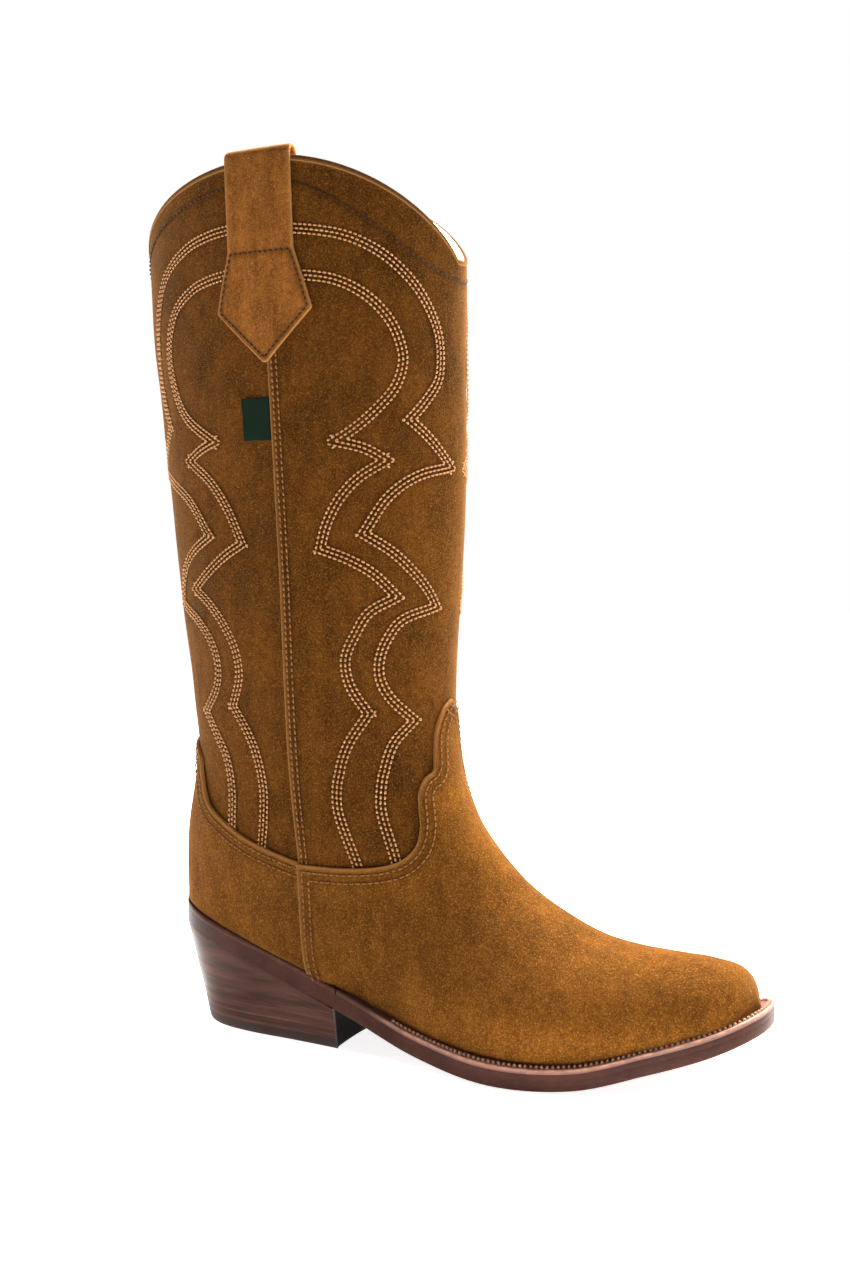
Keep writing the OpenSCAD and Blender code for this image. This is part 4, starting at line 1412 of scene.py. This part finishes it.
def floor_half(i):
    """Middle, left and right edge of the boot's floor, from row 0 at the heel to the last at the toe."""
    back = back_base(np.array(HEEL_STATION), np.array(min(i, HEEL_ROWS) / 9.5))
    w = max(float(back[1]) - 4.0, 3)
    if i <= HEEL_ROWS:
        return float(back[0]) + (5.8 if i == 0 else 3.8), -w, w
    t = 7 + (i - HEEL_ROWS) * 0.4
    c = row_at(BODY, np.array(t))
    d = 2.2 + 2.2 * max(0, t - 13.6) + 1.6 * max(0, 8 - t)
    return float(c[0]), float(c[4] - c[2] + d), float(c[4] + c[3] - d)


floor_rows = np.array([floor_half(i) for i in range(LAST_ROW + 1)])
floor_at = np.linspace(0, LAST_ROW, 140)
floor_fine = row_at(floor_rows, floor_at)


def sock_place(u, v, d):
    x, left, right = (np.interp(u * LAST_ROW, floor_at, column) for column in floor_fine.T)
    dip = 0.6 * (1 - (2 * v - 1) ** 2)
    return np.stack([x, mix(left, right, v), under_z(x) + SEAT + d - dip], -1)


leather("sock_leather", sock_place, crowded(240, 3), crowded(56, 3), 2.9, 4.1, lining_finish, slot="lining",
        stands_for=["sock_liner"])

# %% [markdown]
# ## Pieces that stay as the frame has them
# Interlinings, stiffeners, the insole board, the shank and the filler are closed in between the layers. The
# frame's own solids serve for them, and each gets its real finish.

# %% Finishes for the hidden pieces
HIDDEN = {
    "shaft_front_interlining": canvas_finish,
    "vamp_interlining": canvas_finish,
    "vamp_lining": lining_finish,
    "toe_puff": smooth["pressed_stiffener"],
    "counter_stiffener": smooth["pressed_stiffener"],
    "insole_board": smooth["fibre_board"],
    "shank": smooth["spring_steel"],
    "bottom_filler": smooth["cork_filler"],
}
for node, material in HIDDEN.items():
    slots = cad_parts[node].material_slots
    if not slots:
        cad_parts[node].data.materials.append(material)
    for place_for in slots:
        place_for.material = material
print("hidden pieces", len(HIDDEN))

# %% [markdown]
# ## Floor, light and camera
# The boot stands on a pale floor in an evenly pale tent. The strongest light hangs high behind the boot,
# and a weaker one stands on each side, so the instep and the toe are bright and the middle of the shaft is
# darker than its edges. The camera is level with the middle of the boot, and a small shift frames it
# without tilting the view, so upright lines stay upright.

# %% Floor
FLOOR_R = 6
CORNERS = 64
floor_points = [(math.cos(a) * FLOOR_R, math.sin(a) * FLOOR_R, 0)
                for a in np.linspace(0, math.tau, CORNERS, endpoint=False)]
floor_mesh = bpy.data.meshes.new("studio_floor")
floor_mesh.from_pydata(floor_points, [], [list(range(CORNERS))])
floor = bpy.data.objects.new("studio_floor", floor_mesh)
scene.collection.objects.link(floor)
paper = bpy.data.materials.new("floor_paper")
paper.use_nodes = True
PAPER = {"Base Color": (0.9, 0.9, 0.9, 1), "Roughness": 0.9, "Emission Color": (1, 1, 1, 1),
         "Emission Strength": 0.86}
for key, value in PAPER.items():
    paper.node_tree.nodes["Principled BSDF"].inputs[key].default_value = value
floor_mesh.materials.append(paper)
floor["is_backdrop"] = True

world = bpy.data.worlds.new("light_tent")
scene.world = world
world.use_nodes = True
tree = world.node_tree
tree.nodes.clear()
seen = add(tree, "ShaderNodeBackground", Color=(1, 1, 1, 1), Strength=1.0)
felt = add(tree, "ShaderNodeBackground", Color=(1, 0.98, 0.95, 1), Strength=0.2)
ray = add(tree, "ShaderNodeLightPath")
both = add(tree, "ShaderNodeMixShader",
           i0=ray.outputs["Is Camera Ray"], i1=felt.outputs[0], i2=seen.outputs[0])
add(tree, "ShaderNodeOutputWorld", Surface=both.outputs[0])

# %% Lights


def softbox(name, place, aim, size, power):
    lamp = bpy.data.lights.new(name, "AREA")
    lamp.shape = "RECTANGLE"
    lamp.size = size[0]
    lamp.size_y = size[1]
    lamp.energy = power
    lamp.color = (1, 0.97, 0.93)
    holder = bpy.data.objects.new(name, lamp)
    way = np.array(aim, float) - np.array(place, float)
    holder.location = place
    from_z = math.atan2(way[1], way[0]) - math.pi / 2
    tilt = math.atan2(math.hypot(way[0], way[1]), -way[2])
    holder.rotation_euler = (tilt, 0, from_z)
    scene.collection.objects.link(holder)
    print(name, power, "W")


softbox("left_box", (-0.8, 0.05, 0.45), (0, 0, 0.18), (0.5, 0.9), 9)
softbox("right_box", (0.7, 0.6, 0.5), (0, 0, 0.2), (0.5, 0.9), 12)
softbox("top_box", (0.02, 0.38, 1.0), (0.1, 0, 0.03), (0.5, 0.5), 58)

# %% Camera
camera_data = bpy.data.cameras.new("camera")
camera_data.sensor_width = 36
camera_data.lens = 41.93
camera_data.shift_x = 0.0039
camera_data.shift_y = -0.0569
camera_data.clip_start = 0.01
camera = bpy.data.objects.new("camera", camera_data)
camera.location = (0.2973, -0.5883, 0.211)
camera.rotation_euler = (math.pi / 2, 0, math.radians(27.3))
scene.collection.objects.link(camera)
scene.camera = camera

# %% [markdown]
# ## Size of the dressed boot
# The box round everything that is shown is printed. Soft material may stand a little proud of the
# imported model's box.

# %% Size
low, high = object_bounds()
print("visual", [round(v, 4) for v in (*low, *high)])
